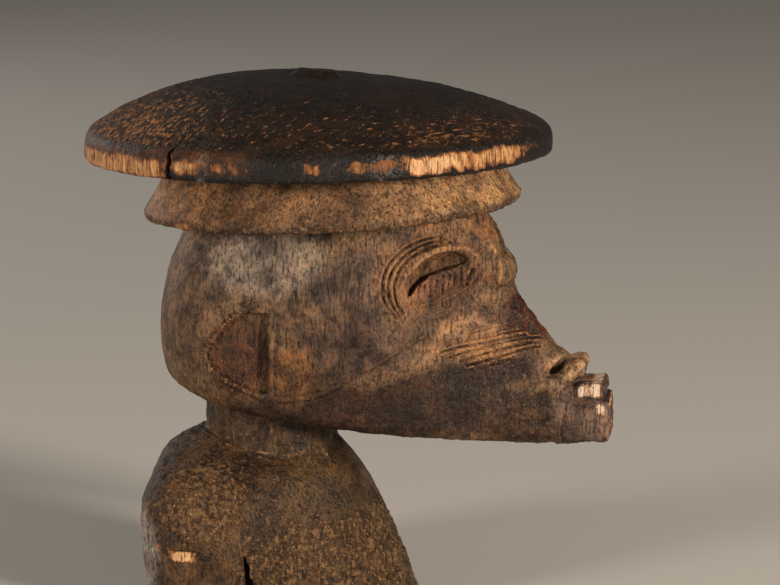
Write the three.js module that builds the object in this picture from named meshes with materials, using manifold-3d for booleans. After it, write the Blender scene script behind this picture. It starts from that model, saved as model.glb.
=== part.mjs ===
// Carved wooden bust of a rider: a hatted head with a long muzzle on a neck and rounded shoulders, cut
// from one log and sawn off flat across the upper arms. Millimetres, +X the way the face looks, +Y the
// figure's left, +Z up. The origin is on the flat underside, below the middle of the neck.
import * as THREE from 'three';
import { RoundedBoxGeometry } from 'three/addons/geometries/RoundedBoxGeometry.js';
import { mergeVertices } from 'three/addons/utils/BufferGeometryUtils.js';
import Module from 'manifold-3d';

const wasm = await Module();
wasm.setup();

// Driving dimensions. A table row is [height, value], from the lowest height up.
const HAT = {
  centreX: 11.8, rimZ: 116.3, radius: 58.2, domeHeight: 16.4, fullness: 2.6,
  rimAbove: 2.8, rimBelow: 3.4, undersideRise: 1.5, nubRadius: 4.2, nubHeight: 1.2, pitch: 0.95, segments: 48,
};
const CROWN = {
  centreX: 15.6, lipZ: 99.4, lipRadius: 46.6, lipThick: 2.6, topZ: 115.0, topRadius: 40.0,
  pitch: 2.9, segments: 40,
};
const HEAD = {
  back: [[44, -14], [52, -21.8], [58, -26.0], [68, -27.9], [82, -26.2], [92, -22.5], [100, -18.4]],
  backRadius: [[44, 22], [52, 24.8], [68, 27.2], [84, 26.0], [100, 23.0]],
  templeX: 22,
  templeRadius: [[44, 21.6], [54, 23.6], [66, 26.2], [84, 25.6], [100, 23.4]],
  front: [
    [40, 80], [46, 81], [52, 80], [58, 76], [64, 70.8],
    [73, 64.6], [80, 59.8], [89, 58.8], [94, 57.2], [101, 53.2],
  ],
  frontRadius: [[40, 6.6], [50, 7.4], [58, 7.6], [66, 6.6], [76, 6.6], [84, 9.5], [100, 12.5]],
  underside: { z: 50.2, slope: -0.18, sag: 0.00086 }, jawRound: 3.6,
};
const NOSE = {
  front: [
    [57, 78.2], [61, 77.2], [63.6, 74.6], [66, 71.4], [69, 69],
    [73, 66], [76, 63.5], [80, 61], [84, 60.4], [89, 58.9],
  ],
  halfWidth: [[57, 4.8], [66, 3.2], [80, 2.4], [89, 2.4]], backX: 45, footZ: 57, rootZ: 88,
  knuckle: { x: 57.3, y: 3.2, z: 84.3, radii: [4.2, 3.8, 5.0], pitch: 0 },
  wing: { x: 73.9, y: 4.4, z: 59.4, radii: [6.3, 4.2, 3.4], pitch: 24 },
  nostril: { x: 71.6, z: 61.2, radius: 1.3, depth: 4 },
};
const MOUTH = {
  upperLip: { back: 72, front: 84.5, bottom: 51.5, top: 57.3, halfWidth: 8.2 },
  lowerLip: { back: 69, front: 85.7, bottom: 43.0, top: 50.8, halfWidth: 8.5 },
  edgeRound: 2.2, slitHalf: 0.5, slitDepth: 1.5,
};
const EYE = {
  brow: { x: 43.3, z: 84.9, halfLength: 12.4, halfHeight: 9.8, tilt: 12 }, browFrom: 74, browTo: 214,
  browRings: 3, browSpacing: 1.5, grooveWidth: 0.9, grooveDepth: 0.8,
  socket: { x: 45.2, z: 83.9, halfLength: 9.0, halfHeight: 4.9, tilt: 17, depth: 3.0 },
  lid: { x: 45.4, z: 82.7, halfLength: 8.0, halfHeight: 3.3, tilt: 15, depth: 2.6, sunk: 1.5 },
};
const EAR = {
  rim: [[0.7, 79.2], [-5.6, 75.5], [-11.4, 68.8], [-12.8, 65.2], [-9.4, 60.9], [1.6, 55.7]],
  rimWidth: 2.0, rimProud: 1.3, frontX: 2.9, tipX: -11.4, topZ: 77.0, bottomZ: 56.6, tipZ: 65.4,
  hollowDepth: 2.6, tragusWidth: 1.2, tragusProud: 0.7,
};
const CHEEK = {
  strap: [[4.8, 54.8], [15.8, 56.6], [23.3, 61.1], [35.2, 67.9], [40.3, 70.7]],
  strapWidth: 1.1, strapProud: 0.6,
  scarCount: 4, scarStart: [44.5, 67.8], scarStartStep: [1.9, -1.4],
  scarEnd: [62.6, 70.6], scarEndStep: [2.4, -1.15],
  scarBow: 0.5, scarWidth: 0.9, scarDepth: 0.7,
};
const NECK = {
  radius: 16.5, topZ: 62, collarRadius: 17.6, collarZ: 41.2, collarDrop: 0.14, bottomZ: 28, segments: 32,
};
const BODY = {
  chestFront: [[0, 37.6], [8, 34.8], [16, 31.6], [24, 27.9], [31, 24.2], [37, 20.0], [42, 15.6], [47, 11]],
  chestBack: [[0, -25.6], [10, -27.2], [20, -28], [30, -25.6], [38, -20.4], [43, -14], [47, -10]],
  chestHalfWidth: [[0, 26], [12, 27], [24, 25.6], [32, 21.4], [36, 18], [40, 13.4], [47, 9]],
  yoke: { x: -10.4, z: 21.6, radii: [19.6, 33.6, 20.2], profileFullness: 2.9 },
  arm: { x: -13.6, lean: -0.12, y: 23.4, radii: [12.8, 10.9], topZ: 30, round: 8 },
  blend: 8.0, centreZ: 15,
  cleft: { frontX: 2.6, backX: -2.6, topX: -2.2, topZ: 19.2, floorY: 23.5 },
};

// A smooth curve through a table's rows, read at one height.
function tableAt(rows, height) {
  const last = rows.length - 1;
  if (height <= rows[0][0]) return rows[0][1];
  if (height >= rows[last][0]) return rows[last][1];
  const i = rows.findIndex(([h]) => h > height) - 1;
  const slope = (j) => {
    const a = rows[Math.max(j - 1, 0)];
    const b = rows[Math.min(j + 1, last)];
    return (b[1] - a[1]) / (b[0] - a[0]);
  };
  const span = rows[i + 1][0] - rows[i][0];
  const t = (height - rows[i][0]) / span;
  const [t2, t3] = [t * t, t * t * t];
  return (2 * t3 - 3 * t2 + 1) * rows[i][1] + (t3 - 2 * t2 + t) * span * slope(i)
    + (3 * t2 - 2 * t3) * rows[i + 1][1] + (t3 - t2) * span * slope(i + 1);
}

// Soft minimum and maximum: two forms flow into each other over a fillet of this width.
function softMin(a, b, width) {
  const h = Math.max(width - Math.abs(a - b), 0) / width;
  return Math.min(a, b) - h * h * width * 0.25;
}
const softMax = (a, b, width) => -softMin(-a, -b, width);

// Distance in plan to the hull of two circles on the midline, the first behind the second.
function hullDistance(x, y, xBack, rBack, xFront, rFront) {
  const length = xFront - xBack;
  const lean = (rBack - rFront) / length;
  const along = Math.sqrt(1 - lean * lean);
  const px = x - xBack;
  const py = Math.abs(y);
  const k = along * px - lean * py;
  if (k < 0) return Math.hypot(px, py) - rBack;
  if (k > along * length) return Math.hypot(px - length, py) - rFront;
  return py * along + px * lean - rBack;
}

// The head without its face carving: a round-backed cranium drawn out into a wedge of a muzzle.
function headField(x, y, z) {
  const backR = tableAt(HEAD.backRadius, z);
  const templeR = tableAt(HEAD.templeRadius, z);
  const frontR = tableAt(HEAD.frontRadius, z);
  const cranium = hullDistance(x, y, tableAt(HEAD.back, z) + backR, backR, HEAD.templeX, templeR);
  const muzzle = hullDistance(x, y, HEAD.templeX, templeR, tableAt(HEAD.front, z) - frontR, frontR);
  const { z: undersideZ, slope, sag } = HEAD.underside;
  return softMax(Math.min(cranium, muzzle), undersideZ + slope * x + sag * x * x - z, HEAD.jawRound);
}

// The chest, the yoke of the shoulders and the two upper arms.
function bodyField(x, y, z) {
  const side = Math.abs(y);
  const front = tableAt(BODY.chestFront, z);
  const back = tableAt(BODY.chestBack, z);
  const [deep, wide] = [(front - back) / 2, tableAt(BODY.chestHalfWidth, z)];
  const chest = (Math.hypot((x - (front + back) / 2) / deep, y / wide) - 1) * Math.min(deep, wide);
  const { yoke, arm } = BODY;
  const [u, v, w] = [x - yoke.x, y, z - yoke.z].map((d, i) => Math.abs(d / yoke.radii[i]));
  const n = yoke.profileFullness;
  const shoulders = (Math.hypot((u ** n + w ** n) ** (1 / n), v) - 1) * yoke.radii[0];
  const armX = arm.x + arm.lean * z;
  const column = (Math.hypot((x - armX) / arm.radii[0], (side - arm.y) / arm.radii[1]) - 1) * arm.radii[1];
  const upperArm = softMax(column, z - arm.topZ, arm.round);
  return softMin(softMin(chest, shoulders, BODY.blend), upperArm, BODY.blend);
}

// Walks out along a ray from inside a field to its surface.
function surfaceAlong(field, origin, direction, reach) {
  const at = (t) => field(origin.x + direction.x * t, origin.y + direction.y * t, origin.z + direction.z * t);
  const steps = 60;
  let inside = 0;
  while (inside < reach && at(inside + reach / steps) <= 0) inside += reach / steps;
  let outside = inside + reach / steps;
  for (let i = 0; i < 24; i += 1) {
    const mid = (inside + outside) / 2;
    if (at(mid) > 0) outside = mid;
    else inside = mid;
  }
  return origin.clone().addScaledVector(direction, inside);
}

// The head's side at one place in side view, on the figure's left, and the way out of the wood there.
function onSide(x, z) {
  const point = surfaceAlong(headField, new THREE.Vector3(x, 0, z), new THREE.Vector3(0, 1, 0), 40);
  const e = 0.4;
  const grad = (dx, dy, dz) => headField(point.x + dx, point.y + dy, point.z + dz)
    - headField(point.x - dx, point.y - dy, point.z - dz);
  const normal = new THREE.Vector3(grad(e, 0, 0), grad(0, e, 0), grad(0, 0, e)).normalize();
  return { point, normal };
}

// Geometry from rings of points, stacked from first to last, each end drawn to its middle.
function closedLoft(rings) {
  const middle = (ring) => ring.reduce((sum, p) => sum.add(p), new THREE.Vector3()).divideScalar(ring.length);
  const points = [middle(rings[0]), ...rings.flat(), middle(rings[rings.length - 1])];
  const count = rings[0].length;
  const index = [];
  for (let i = 0; i < count; i += 1) {
    const j = (i + 1) % count;
    index.push(0, 1 + j, 1 + i);
    for (let k = 0; k + 1 < rings.length; k += 1) {
      const [a, b] = [1 + k * count, 1 + (k + 1) * count];
      index.push(a + i, a + j, b + j, a + i, b + j, b + i);
    }
    const top = 1 + (rings.length - 1) * count;
    index.push(points.length - 1, top + i, top + j);
  }
  return new THREE.BufferGeometry().setFromPoints(points).setIndex(index);
}

// A closed solid from geometry: shared corners merged, faces that shrank to a line dropped.
function solidFrom(geometry, matrix) {
  const bare = new THREE.BufferGeometry().setAttribute('position', geometry.getAttribute('position').clone());
  if (geometry.index) bare.setIndex(geometry.index.clone());
  if (matrix) bare.applyMatrix4(matrix);
  const merged = mergeVertices(bare, 1e-3);
  const corners = [];
  for (let i = 0; i < merged.index.count; i += 3) {
    const [a, b, c] = [0, 1, 2].map((k) => merged.index.getX(i + k));
    if (a !== b && b !== c && c !== a) corners.push([a, b, c]);
  }
  const vertProperties = merged.attributes.position.array;
  const build = (faces) => new wasm.Manifold(
    new wasm.Mesh({ numProp: 3, vertProperties, triVerts: new Uint32Array(faces.flat()) }),
  );
  const solid = build(corners);
  return solid.volume() >= 0 ? solid : build(corners.map(([a, b, c]) => [a, c, b]));
}

// Adds a left-hand form and its mirror image to a solid, or cuts both away.
function bothSides(solid, geometry, cut = false) {
  const mirror = new THREE.Matrix4().makeScale(1, -1, 1);
  const pair = [solidFrom(geometry), solidFrom(geometry, mirror)];
  return pair.reduce((body, side) => (cut ? body.subtract(side) : body.add(side)), solid);
}

// Turned form about +Z: LatheGeometry spins about its own Y, so it is stood up, then pitched up in front.
function turned(profile, { centreX, baseZ, pitch, segments }) {
  const geometry = new THREE.LatheGeometry(profile.map(([r, z]) => new THREE.Vector2(r, z)), segments);
  geometry.rotateX(Math.PI / 2).rotateY(THREE.MathUtils.degToRad(-pitch));
  return solidFrom(geometry.translate(centreX, 0, baseZ));
}

// The wide hat: a full dome over a blunt rim, with a low nub on top.
function buildHat() {
  const { radius, domeHeight, rimAbove, rimBelow, undersideRise, nubRadius, nubHeight } = HAT;
  const domeZ = (r) => rimAbove + (domeHeight - rimAbove) * (1 - (r / radius) ** HAT.fullness);
  const profile = [[0, undersideRise - rimBelow], [radius - 12, undersideRise / 2 - rimBelow]];
  profile.push([radius - 1.6, -rimBelow]);
  profile.push([radius - 0.3, -rimBelow * 0.4], [radius, rimAbove * 0.2], [radius - 0.6, rimAbove * 0.85]);
  const domeRadii = [0.95, 0.87, 0.75, 0.6, 0.42, 0.24].map((share) => radius * share);
  profile.push(...domeRadii.map((r) => [r, domeZ(r)]));
  profile.push([nubRadius, domeZ(nubRadius)], [nubRadius * 0.45, domeZ(0) + nubHeight * 0.8]);
  profile.push([0, domeZ(0) + nubHeight]);
  return turned(profile, { ...HAT, baseZ: HAT.rimZ });
}

// The flared crown band between the hat and the brow.
function buildCrown() {
  const { lipRadius, lipThick, topRadius } = CROWN;
  const rise = CROWN.topZ - CROWN.lipZ;
  const profile = [[0, 0], [lipRadius - 0.9, 0], [lipRadius, lipThick * 0.45], [lipRadius - 0.6, lipThick]];
  profile.push([lipRadius - 2.2, lipThick + 2.2], [topRadius, rise * 0.72], [topRadius - 1, rise], [0, rise]);
  return turned(profile, { ...CROWN, baseZ: CROWN.lipZ });
}

// Rays out of the middle of the head: round the back, along the side and round the muzzle's end.
function headRays(lift, originZ) {
  const [backX, farthestX, endSetback] = [1, 70, 11];
  const frontX = Math.min(farthestX, tableAt(HEAD.front, originZ(60)) - endSetback);
  const [backCount, sideCount, frontCount] = [6, 12, 4];
  const [sideAngle, frontAngle] = [96, 66];
  const half = [];
  for (let i = 0; i < backCount; i += 1) half.push([backX, 180 - ((180 - sideAngle) * i) / backCount]);
  for (let i = 0; i < sideCount; i += 1) {
    const t = i / sideCount;
    half.push([backX + (frontX - backX) * t, sideAngle + (frontAngle - sideAngle) * t * t]);
  }
  for (let i = 0; i <= frontCount; i += 1) half.push([frontX, frontAngle * (1 - i / frontCount)]);
  const whole = [...half, ...half.slice(1, -1).reverse().map(([x, angle]) => [x, -angle])];
  const up = THREE.MathUtils.degToRad(lift);
  return whole.map(([x, angle]) => {
    const a = THREE.MathUtils.degToRad(angle);
    const direction = new THREE.Vector3(Math.cos(a) * Math.cos(up), Math.sin(a) * Math.cos(up), Math.sin(up));
    return { origin: new THREE.Vector3(x, 0, originZ(x)), direction };
  });
}

// The head as a loft: fans of rays under the jaw, then level after level up into the crown.
function buildHead() {
  const spineZ = (x) => 58.5 - 0.14 * x;
  const topZ = (x) => 103.5 + 0.05 * x;
  const rings = [-90, -64, -46, -33, -23, -15, -7].map((lift) => headRays(lift, spineZ));
  for (const t of [0, 0.06, 0.12, 0.19, 0.26, 0.34, 0.43, 0.52, 0.61, 0.7, 0.8, 1]) {
    rings.push(headRays(0, (x) => spineZ(x) + (topZ(x) - spineZ(x)) * t));
  }
  const skinAt = ({ origin, direction }) => surfaceAlong(headField, origin, direction, 70);
  return solidFrom(closedLoft(rings.map((rays) => rays.map(skinAt))));
}

// An egg of wood set on the head: its long axis is pitched up by some degrees in side view.
function egg({ x, y, z, radii, pitch }) {
  const geometry = new THREE.SphereGeometry(1, 11, 7).scale(...radii);
  return geometry.rotateY(THREE.MathUtils.degToRad(-pitch)).translate(x, y, z);
}

// The ridge of the nose, from its foot above the lip to its root between the eyes.
function noseRidge() {
  const { backX, footZ, rootZ } = NOSE;
  const levels = 9;
  const rings = Array.from({ length: levels }, (_, i) => {
    const z = footZ + ((rootZ - footZ) * i) / (levels - 1);
    const [front, half] = [tableAt(NOSE.front, z), tableAt(NOSE.halfWidth, z)];
    const outline = [[backX, half], [front - 1.6, half], [front, half * 0.45]];
    const mirrored = outline.map(([x, y]) => [x, -y]).reverse();
    return [...outline, ...mirrored].map(([x, y]) => new THREE.Vector3(x, y, z));
  });
  return closedLoft(rings);
}

// A lip: an upright block with rounded corners across the end of the muzzle.
function lipBlock({ back, front, bottom, top, halfWidth }) {
  const geometry = new RoundedBoxGeometry(front - back, halfWidth * 2, top - bottom, 1, MOUTH.edgeRound);
  return geometry.translate((front + back) / 2, 0, (top + bottom) / 2);
}

// Stations along a path on the head's side: the skin, the way out of it, and the way across the path.
function pathOnSide(path, count) {
  const flat = path.map(([x, z]) => new THREE.Vector3(x, 0, z));
  const curve = new THREE.CatmullRomCurve3(flat, false, 'centripetal');
  return curve.getPoints(count).map((p, i) => {
    const { point, normal } = onSide(p.x, p.z);
    const across = curve.getTangent(i / count).cross(normal).normalize();
    return { point, normal, across };
  });
}

// A bar that follows a path on the head's side, rooted in the wood and narrower at its proud edge.
function sideBar(path, width, proud, count) {
  return closedLoft(pathOnSide(path, count).map(({ point, normal, across }) => {
    const foot = point.clone().addScaledVector(normal, -1);
    const edge = point.clone().addScaledVector(normal, proud);
    const at = (base, share) => base.clone().addScaledVector(across, width * share);
    return [at(foot, 0.5), at(edge, 0.3), at(edge, -0.3), at(foot, -0.5)];
  }));
}

// A V groove along a path on the head's side, its mouth a little above the skin.
function sideGroove(path, width, depth, count) {
  return closedLoft(pathOnSide(path, count).map(({ point, normal, across }) => {
    const mouth = point.clone().addScaledVector(normal, depth * 0.5);
    const at = (share) => mouth.clone().addScaledVector(across, width * share);
    return [at(0.7), at(-0.7), point.clone().addScaledVector(normal, -depth)];
  }));
}

// Part of a tilted oval in side view, from one angle to another, as path points.
function ovalPath({ x, z, halfLength, halfHeight, tilt }, inset, fromDeg, toDeg) {
  const [t, points] = [THREE.MathUtils.degToRad(tilt), 8];
  return Array.from({ length: points }, (_, i) => {
    const a = THREE.MathUtils.degToRad(fromDeg + ((toDeg - fromDeg) * i) / (points - 1));
    const [u, w] = [(halfLength - inset) * Math.cos(a), (halfHeight - inset) * Math.sin(a)];
    return [x + u * Math.cos(t) - w * Math.sin(t), z + u * Math.sin(t) + w * Math.cos(t)];
  });
}

// A lens laid into the head's side, turned to follow the skin and sunk into it by some distance.
function sideLens({ x, z, halfLength, halfHeight, tilt, depth, sunk = 0 }) {
  const { point, normal } = onSide(x, z);
  const slant = THREE.MathUtils.degToRad(tilt);
  const along = new THREE.Vector3(Math.cos(slant), 0, Math.sin(slant));
  along.addScaledVector(normal, -along.dot(normal)).normalize();
  const basis = new THREE.Matrix4().makeBasis(along, normal.clone().cross(along), normal);
  const lens = new THREE.SphereGeometry(1, 14, 8).rotateX(Math.PI / 2).scale(halfLength, halfHeight, depth);
  return lens.applyMatrix4(basis).translate(...point.addScaledVector(normal, -sunk).toArray());
}

// One ear hollow: a wedge of wood cut out, deepest at its front edge, running out at the tip.
function earHollow() {
  const { frontX, tipX, tipZ, hollowDepth } = EAR;
  const corners = [[frontX, EAR.topZ], [tipX, tipZ], [frontX, EAR.bottomZ]];
  const outline = new THREE.Shape(corners.map((p) => new THREE.Vector2(...p)));
  const geometry = new THREE.ExtrudeGeometry(outline, { depth: 1, bevelEnabled: false }).rotateX(Math.PI / 2);
  const p = geometry.getAttribute('position');
  for (let i = 0; i < p.count; i += 1) {
    const skin = onSide(p.getX(i), tipZ).point.y;
    const floor = skin - (hollowDepth * (p.getX(i) - tipX)) / (frontX - tipX);
    p.setY(i, p.getY(i) < -0.5 ? floor : skin + 6);
  }
  return geometry;
}

// Eye, ear, cheek and nostril carving on both sides of the head.
function carveFace(head) {
  let solid = bothSides(head, sideLens(EYE.socket), true);
  solid = bothSides(solid, sideLens(EYE.lid));
  for (let i = 0; i < EYE.browRings; i += 1) {
    const path = ovalPath(EYE.brow, i * EYE.browSpacing, EYE.browFrom, EYE.browTo);
    solid = bothSides(solid, sideGroove(path, EYE.grooveWidth, EYE.grooveDepth, 10), true);
  }
  for (let i = 0; i < CHEEK.scarCount; i += 1) {
    const start = CHEEK.scarStart.map((v, k) => v + i * CHEEK.scarStartStep[k]);
    const end = CHEEK.scarEnd.map((v, k) => v + i * CHEEK.scarEndStep[k]);
    const middle = [(start[0] + end[0]) / 2, (start[1] + end[1]) / 2 + CHEEK.scarBow];
    solid = bothSides(solid, sideGroove([start, middle, end], CHEEK.scarWidth, CHEEK.scarDepth, 5), true);
  }
  solid = bothSides(solid, sideBar(CHEEK.strap, CHEEK.strapWidth, CHEEK.strapProud, 9));
  solid = bothSides(solid, sideBar(EAR.rim, EAR.rimWidth, EAR.rimProud, 13));
  solid = bothSides(solid, earHollow(), true);
  const tragusX = EAR.frontX + EAR.tragusWidth / 2;
  const tragus = [[tragusX, EAR.topZ], [tragusX, EAR.bottomZ]];
  return bothSides(solid, sideBar(tragus, EAR.tragusWidth, EAR.tragusProud, 3));
}

// The nose with the knuckles of brow at its root, and the lips with a slit between them.
function addMuzzleEnd(head) {
  const { upperLip, lowerLip, slitHalf, slitDepth } = MOUTH;
  const { knuckle, wing, nostril } = NOSE;
  let solid = bothSides(head.add(solidFrom(noseRidge())), egg(knuckle));
  solid = bothSides(solid, egg(wing));
  const bore = new THREE.CylinderGeometry(nostril.radius, nostril.radius * 0.6, nostril.depth, 8);
  solid = bothSides(solid, bore.translate(nostril.x, wing.y + wing.radii[1], nostril.z), true);
  solid = solid.add(solidFrom(lipBlock(upperLip))).add(solidFrom(lipBlock(lowerLip)));
  const slitZ = (upperLip.bottom + lowerLip.top) / 2;
  const slit = new THREE.BoxGeometry(40, 40, slitHalf * 2).translate(upperLip.back + 20, 0, slitZ);
  const kept = new THREE.BoxGeometry(40, (upperLip.halfWidth - slitDepth) * 2, 4);
  kept.translate(upperLip.front - slitDepth - 20, 0, slitZ);
  return solid.subtract(solidFrom(slit).subtract(solidFrom(kept)));
}

// The neck column with its low collar, which dips towards the chest and the shoulders.
function buildNeck() {
  const { radius, collarRadius, collarZ, collarDrop, bottomZ, topZ } = NECK;
  const profile = [[0, bottomZ], [collarRadius, bottomZ], [collarRadius, collarZ - 1.2], [radius, collarZ]];
  profile.push([radius, topZ], [0, topZ]);
  const geometry = new THREE.LatheGeometry(profile.map(([r, z]) => new THREE.Vector2(r, z)), NECK.segments);
  const p = geometry.rotateX(Math.PI / 2).getAttribute('position');
  for (let i = 0; i < p.count; i += 1) {
    const onCollar = p.getZ(i) > bottomZ && p.getZ(i) < topZ;
    if (onCollar) p.setZ(i, p.getZ(i) - (p.getX(i) + Math.abs(p.getY(i))) * collarDrop);
  }
  return solidFrom(geometry);
}

// Chest, shoulders and upper arms, from rays out of the middle of the trunk, with a cleft before each arm.
function buildTrunk() {
  const around = 40;
  const ring = (originZ, lift) => Array.from({ length: around }, (_, i) => {
    const [a, up] = [(2 * Math.PI * i) / around, THREE.MathUtils.degToRad(lift)];
    const direction = new THREE.Vector3(Math.cos(a) * Math.cos(up), Math.sin(a) * Math.cos(up), Math.sin(up));
    return surfaceAlong(bodyField, new THREE.Vector3(0, 0, originZ), direction, 60);
  });
  const rings = [0, 5, 10].map((z) => ring(z, 0));
  for (const lift of [0, 9, 18, 27, 36, 46, 58, 74]) rings.push(ring(BODY.centreZ, lift));
  const { frontX, backX, topX, topZ, floorY } = BODY.cleft;
  const corners = [[backX, -1], [frontX, -1], [topX, topZ]];
  const outline = new THREE.Shape(corners.map((p) => new THREE.Vector2(...p)));
  const wedge = new THREE.ExtrudeGeometry(outline, { depth: 20, bevelEnabled: false }).rotateX(Math.PI / 2);
  return bothSides(solidFrom(closedLoft(rings)), wedge.translate(0, floorY + 20, 0), true);
}

// The whole carving as one solid.
function buildFigure() {
  const head = addMuzzleEnd(carveFace(buildHead()));
  return head.add(buildCrown()).add(buildHat()).add(buildNeck()).add(buildTrunk());
}

// A mesh from a solid, in one finish.
function meshOf(name, solid, material) {
  const { numProp, vertProperties, triVerts } = solid.getMesh();
  const count = vertProperties.length / numProp;
  const position = new Float32Array(count * 3);
  for (let i = 0; i < count; i += 1) {
    position.set(vertProperties.subarray(i * numProp, i * numProp + 3), i * 3);
  }
  const geometry = new THREE.BufferGeometry();
  geometry.setAttribute('position', new THREE.BufferAttribute(position, 3));
  geometry.setIndex(new THREE.BufferAttribute(triVerts, 1));
  geometry.computeVertexNormals();
  const mesh = new THREE.Mesh(geometry, material);
  mesh.name = name;
  return mesh;
}

const darkWood = new THREE.MeshStandardMaterial({ color: 0x4a3526, roughness: 0.62, metalness: 0 });

const figure = new THREE.Group();
figure.add(meshOf('carved_rider_bust', buildFigure(), darkWood));

export default figure;
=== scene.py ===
"""Looks of a carved wooden rider's head and shoulders: one dark old log with worn rims and a rough crust.

The wood is first shaped as a field of distances in millimetres, form by form, as a carver takes it down.
The field becomes a fine skin. Geometry Nodes then lay the cut lines, lashes and splits on that skin, press
them in and work over the surface with tool marks. The skin is painted with masks for wear, soot, crust and
bare wood, and also with painted light and shade: darker hollows, lighter lit sides, sheen and glints. One
procedural wood finish reads those masks. Blender's objects are in metres.
"""
from __future__ import annotations

import logging
import math
from dataclasses import dataclass
from enum import Enum
from functools import cached_property
from typing import Callable, Sequence

import bpy
import numpy as np
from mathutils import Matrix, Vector

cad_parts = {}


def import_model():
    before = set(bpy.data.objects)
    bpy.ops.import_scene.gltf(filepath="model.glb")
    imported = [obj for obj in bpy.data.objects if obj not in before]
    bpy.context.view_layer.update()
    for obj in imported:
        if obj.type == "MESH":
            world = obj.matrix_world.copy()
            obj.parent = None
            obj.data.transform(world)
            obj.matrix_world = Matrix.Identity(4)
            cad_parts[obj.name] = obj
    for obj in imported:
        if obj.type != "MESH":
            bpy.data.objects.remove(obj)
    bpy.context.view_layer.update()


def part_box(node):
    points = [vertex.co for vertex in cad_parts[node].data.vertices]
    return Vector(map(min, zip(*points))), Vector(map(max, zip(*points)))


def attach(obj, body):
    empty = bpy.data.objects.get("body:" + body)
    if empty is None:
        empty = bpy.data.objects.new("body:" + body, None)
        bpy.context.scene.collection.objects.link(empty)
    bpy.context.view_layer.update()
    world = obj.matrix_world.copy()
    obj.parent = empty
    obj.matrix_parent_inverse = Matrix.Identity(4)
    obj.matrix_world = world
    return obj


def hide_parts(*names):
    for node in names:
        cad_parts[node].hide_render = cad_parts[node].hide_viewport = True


LOG = logging.getLogger("carved_rider")

MM = 0.001
NODE = "carved_rider_bust"
BODY = "root"
FACE_LIMIT = 196_000
NEAR_SIDE = -1.0

Array = np.ndarray
Rows = Sequence[tuple[float, float]]
Point2 = tuple[float, float]
Waves = Sequence[tuple[float, float, float]]


class Profile:
    """A smooth curve through rows of (height, value) that can be read at any height."""

    samples_per_row = 48

    def __init__(self, rows: Rows) -> None:
        """Samples the curve finely once.

        Args:
            rows: The (height, value) pairs, from the lowest height up.
        """
        keys, values = (np.array(column, float) for column in zip(*rows))
        last = len(keys) - 1
        low = np.maximum(np.arange(last + 1) - 1, 0)
        high = np.minimum(np.arange(last + 1) + 1, last)
        slopes = (values[high] - values[low]) / (keys[high] - keys[low])
        self.keys = np.linspace(keys[0], keys[-1], last * self.samples_per_row + 1)
        i = np.clip(np.searchsorted(keys, self.keys, side="right") - 1, 0, last - 1)
        span = keys[i + 1] - keys[i]
        t = (self.keys - keys[i]) / span
        self.values = (
            (2 * t**3 - 3 * t**2 + 1) * values[i]
            + (t**3 - 2 * t**2 + t) * span * slopes[i]
            + (3 * t**2 - 2 * t**3) * values[i + 1]
            + (t**3 - t**2) * span * slopes[i + 1]
        )

    def __call__(self, height: Array) -> Array:
        """Returns the curve's value at each height."""
        return np.interp(height, self.keys, self.values)


def soft_min(a: Array, b: Array, width: float) -> Array:
    """Returns two fields joined, with a fillet of some width where they meet."""
    h = np.maximum(width - np.abs(a - b), 0.0) / width
    return np.minimum(a, b) - h * h * width * 0.25


def soft_max(a: Array, b: Array, width: float) -> Array:
    """Returns what two fields share, with the edge between them rounded over some width."""
    return -soft_min(-a, -b, width)


def smooth_step(low: float, high: float, value: Array) -> Array:
    """Returns 0 below low, 1 above high and a smooth rise between them."""
    t = np.clip((value - low) / (high - low), 0.0, 1.0)
    return t * t * (3.0 - 2.0 * t)


def ripple(around: Array, waves: Waves) -> Array:
    """Returns the sum of some waves round a turned form, each given by its height, its pace and its shift."""
    return sum(height * np.sin(pace * around + shift) for height, pace, shift in waves)


def hull_distance(x: Array, y: Array, x_back: Array, r_back: Array, x_front: Array, r_front: Array) -> Array:
    """Measures in plan to the hull of two circles on the midline, the first behind the second.

    Args:
        x: Places along the midline.
        y: Places across it.
        x_back: Middle of the back circle.
        r_back: Radius of the back circle.
        x_front: Middle of the front circle.
        r_front: Radius of the front circle.

    Returns:
        The distance, below zero inside the hull.
    """
    length = x_front - x_back
    lean = (r_back - r_front) / length
    along = np.sqrt(1.0 - lean * lean)
    px, py = x - x_back, np.abs(y)
    k = along * px - lean * py
    flank = py * along + px * lean - r_back
    ends = np.where(k < 0, np.hypot(px, py) - r_back, np.hypot(px - length, py) - r_front)
    return np.where((k < 0) | (k > along * length), ends, flank)


def egg_distance(x: Array, y: Array, z: Array, radii: Sequence[float]) -> Array:
    """Measures to an egg about the origin.

    Args:
        x: Places along the first half length.
        y: Places along the second.
        z: Places along the third.
        radii: The three half lengths.

    Returns:
        The distance, close to true near the shell.
    """
    rx, ry, rz = radii
    near = np.sqrt((x / rx) ** 2 + (y / ry) ** 2 + (z / rz) ** 2)
    steep = np.sqrt((x / rx**2) ** 2 + (y / ry**2) ** 2 + (z / rz**2) ** 2)
    return near * (near - 1.0) / np.maximum(steep, 1e-6)


def path_distance(x: Array, z: Array, path: Sequence[Point2]) -> Array:
    """Measures in side view to a smooth path.

    Args:
        x: Places along the figure.
        z: Heights.
        path: The path's points in side view.

    Returns:
        The distance to the nearest stretch.
    """
    points = smooth_path(path, 5)
    best = np.full(x.shape, np.inf)
    for (ax, az), (bx, bz) in zip(points[:-1], points[1:]):
        dx, dz = bx - ax, bz - az
        t = np.clip(((x - ax) * dx + (z - az) * dz) / (dx * dx + dz * dz), 0.0, 1.0)
        best = np.minimum(best, np.hypot(x - ax - t * dx, z - az - t * dz))
    return best


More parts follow.
